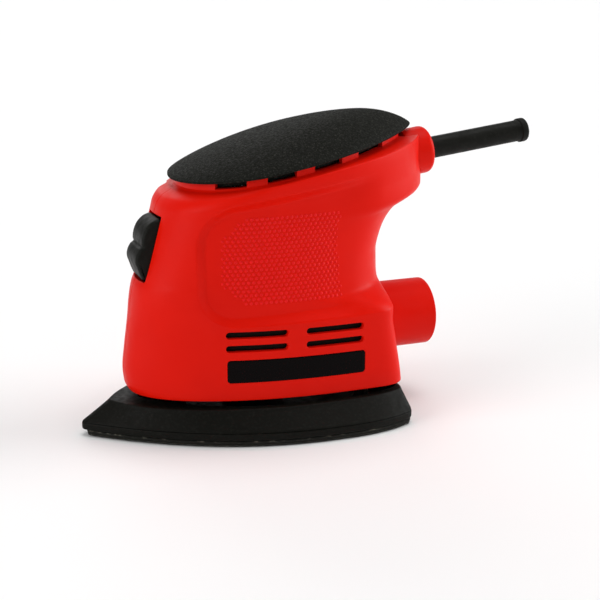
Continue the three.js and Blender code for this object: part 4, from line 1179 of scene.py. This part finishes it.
def build_screws():
    mesh = mesh_from("screw", *screw_part())
    tidy_mesh(mesh)
    mesh = cut(mesh, cross_cutter())
    blank = part_of(mesh)
    for i, (x, z) in enumerate(BODY_SCREWS):
        turn = from_side(x, SCREW_HEAD_Y, z)
        spin = Matrix.Rotation(random.uniform(0, math.pi), 4, "Z")
        name = f"housing_screw_{i + 1}"
        add(name + "_fine", moved(blank, turn @ spin), "housing", "steel", (name,))


# ---- stage


def build_stage():
    signs = ((-1, -1), (1, -1), (1, 1), (-1, 1))
    corners = [(FLOOR["half"] * x, FLOOR["half"] * y, FLOOR["z"]) for x, y in signs]
    floor = link("floor", mesh_from("floor", corners, [[0, 1, 2, 3]]))
    pale = Nodes("floor_pale", (0.93, 0.93, 0.93), 0.9)
    pale.roughness(pale.noise(8, 2), 0.3, 0.7, 0.85, 0.95)
    floor.data.materials.append(pale.material)
    floor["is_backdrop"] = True

    world = bpy.data.worlds.new("studio")
    world.use_nodes = True
    background = world.node_tree.nodes["Background"]
    background.inputs["Color"].default_value = (1, 1, 1, 1)
    background.inputs["Strength"].default_value = 0.3
    bpy.context.scene.world = world

    for name, (toward, strength) in SUNS.items():
        light = bpy.data.lights.new(name, "SUN")
        light.energy = strength
        light.angle = math.radians(40)
        link(name, light).rotation_euler = (-Vector(toward)).to_track_quat("-Z", "Y").to_euler()

    camera = bpy.data.cameras.new("camera")
    camera.sensor_width = 36
    camera.lens = CAMERA["lens"]
    camera.shift_x = CAMERA["shift_x"]
    camera.shift_y = CAMERA["shift_y"]
    camera.clip_start = 0.01
    view = link("camera", camera)
    view.location = CAMERA["place"]
    view.rotation_euler = (Vector(CAMERA["aim"]) - view.location).to_track_quat("-Z", "Y").to_euler()
    bpy.context.scene.camera = view
    bpy.context.scene.view_settings.view_transform = "Standard"


# ---- assembly

paint_cad_nodes()
build_body()
add("palm_cover_shell", cover_part(), "housing", "textured_black", ("palm_cover",), weld=1e-8)
add("left_label", mirrored(label_part()), "housing", "label_black", ("name_plate",))
add("right_label", label_part(), "housing", "label_black", ("rating_plate",))
add("rocker_cap", rocker_part(), "rocker", "rubber_black", ("switch_rocker",))
add("dust_outlet", port_part(), "housing", "red_plastic", ("dust_port",))
add("cord_boss", collar_part(), "housing", "red_plastic", ("cord_collar",))
add("cord_sleeve", sleeve_part(), "housing", "rubber_black", ("strain_relief",))
add("platen_shell", base_plate_part(), "platen", "black_plastic", ("base_plate",))
foam = add("pad_foam_layer", foam_part(), "platen", "pad_foam", ("foam_pad",))
add("hook_layer", hook_part(), "platen", "hook_fabric", ("hook_pad",))
build_screws()
build_stage()

plain = lambda bounds: [list(corner) for corner in bounds]
{"cad": plain(cad_box), "visual": plain(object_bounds())}
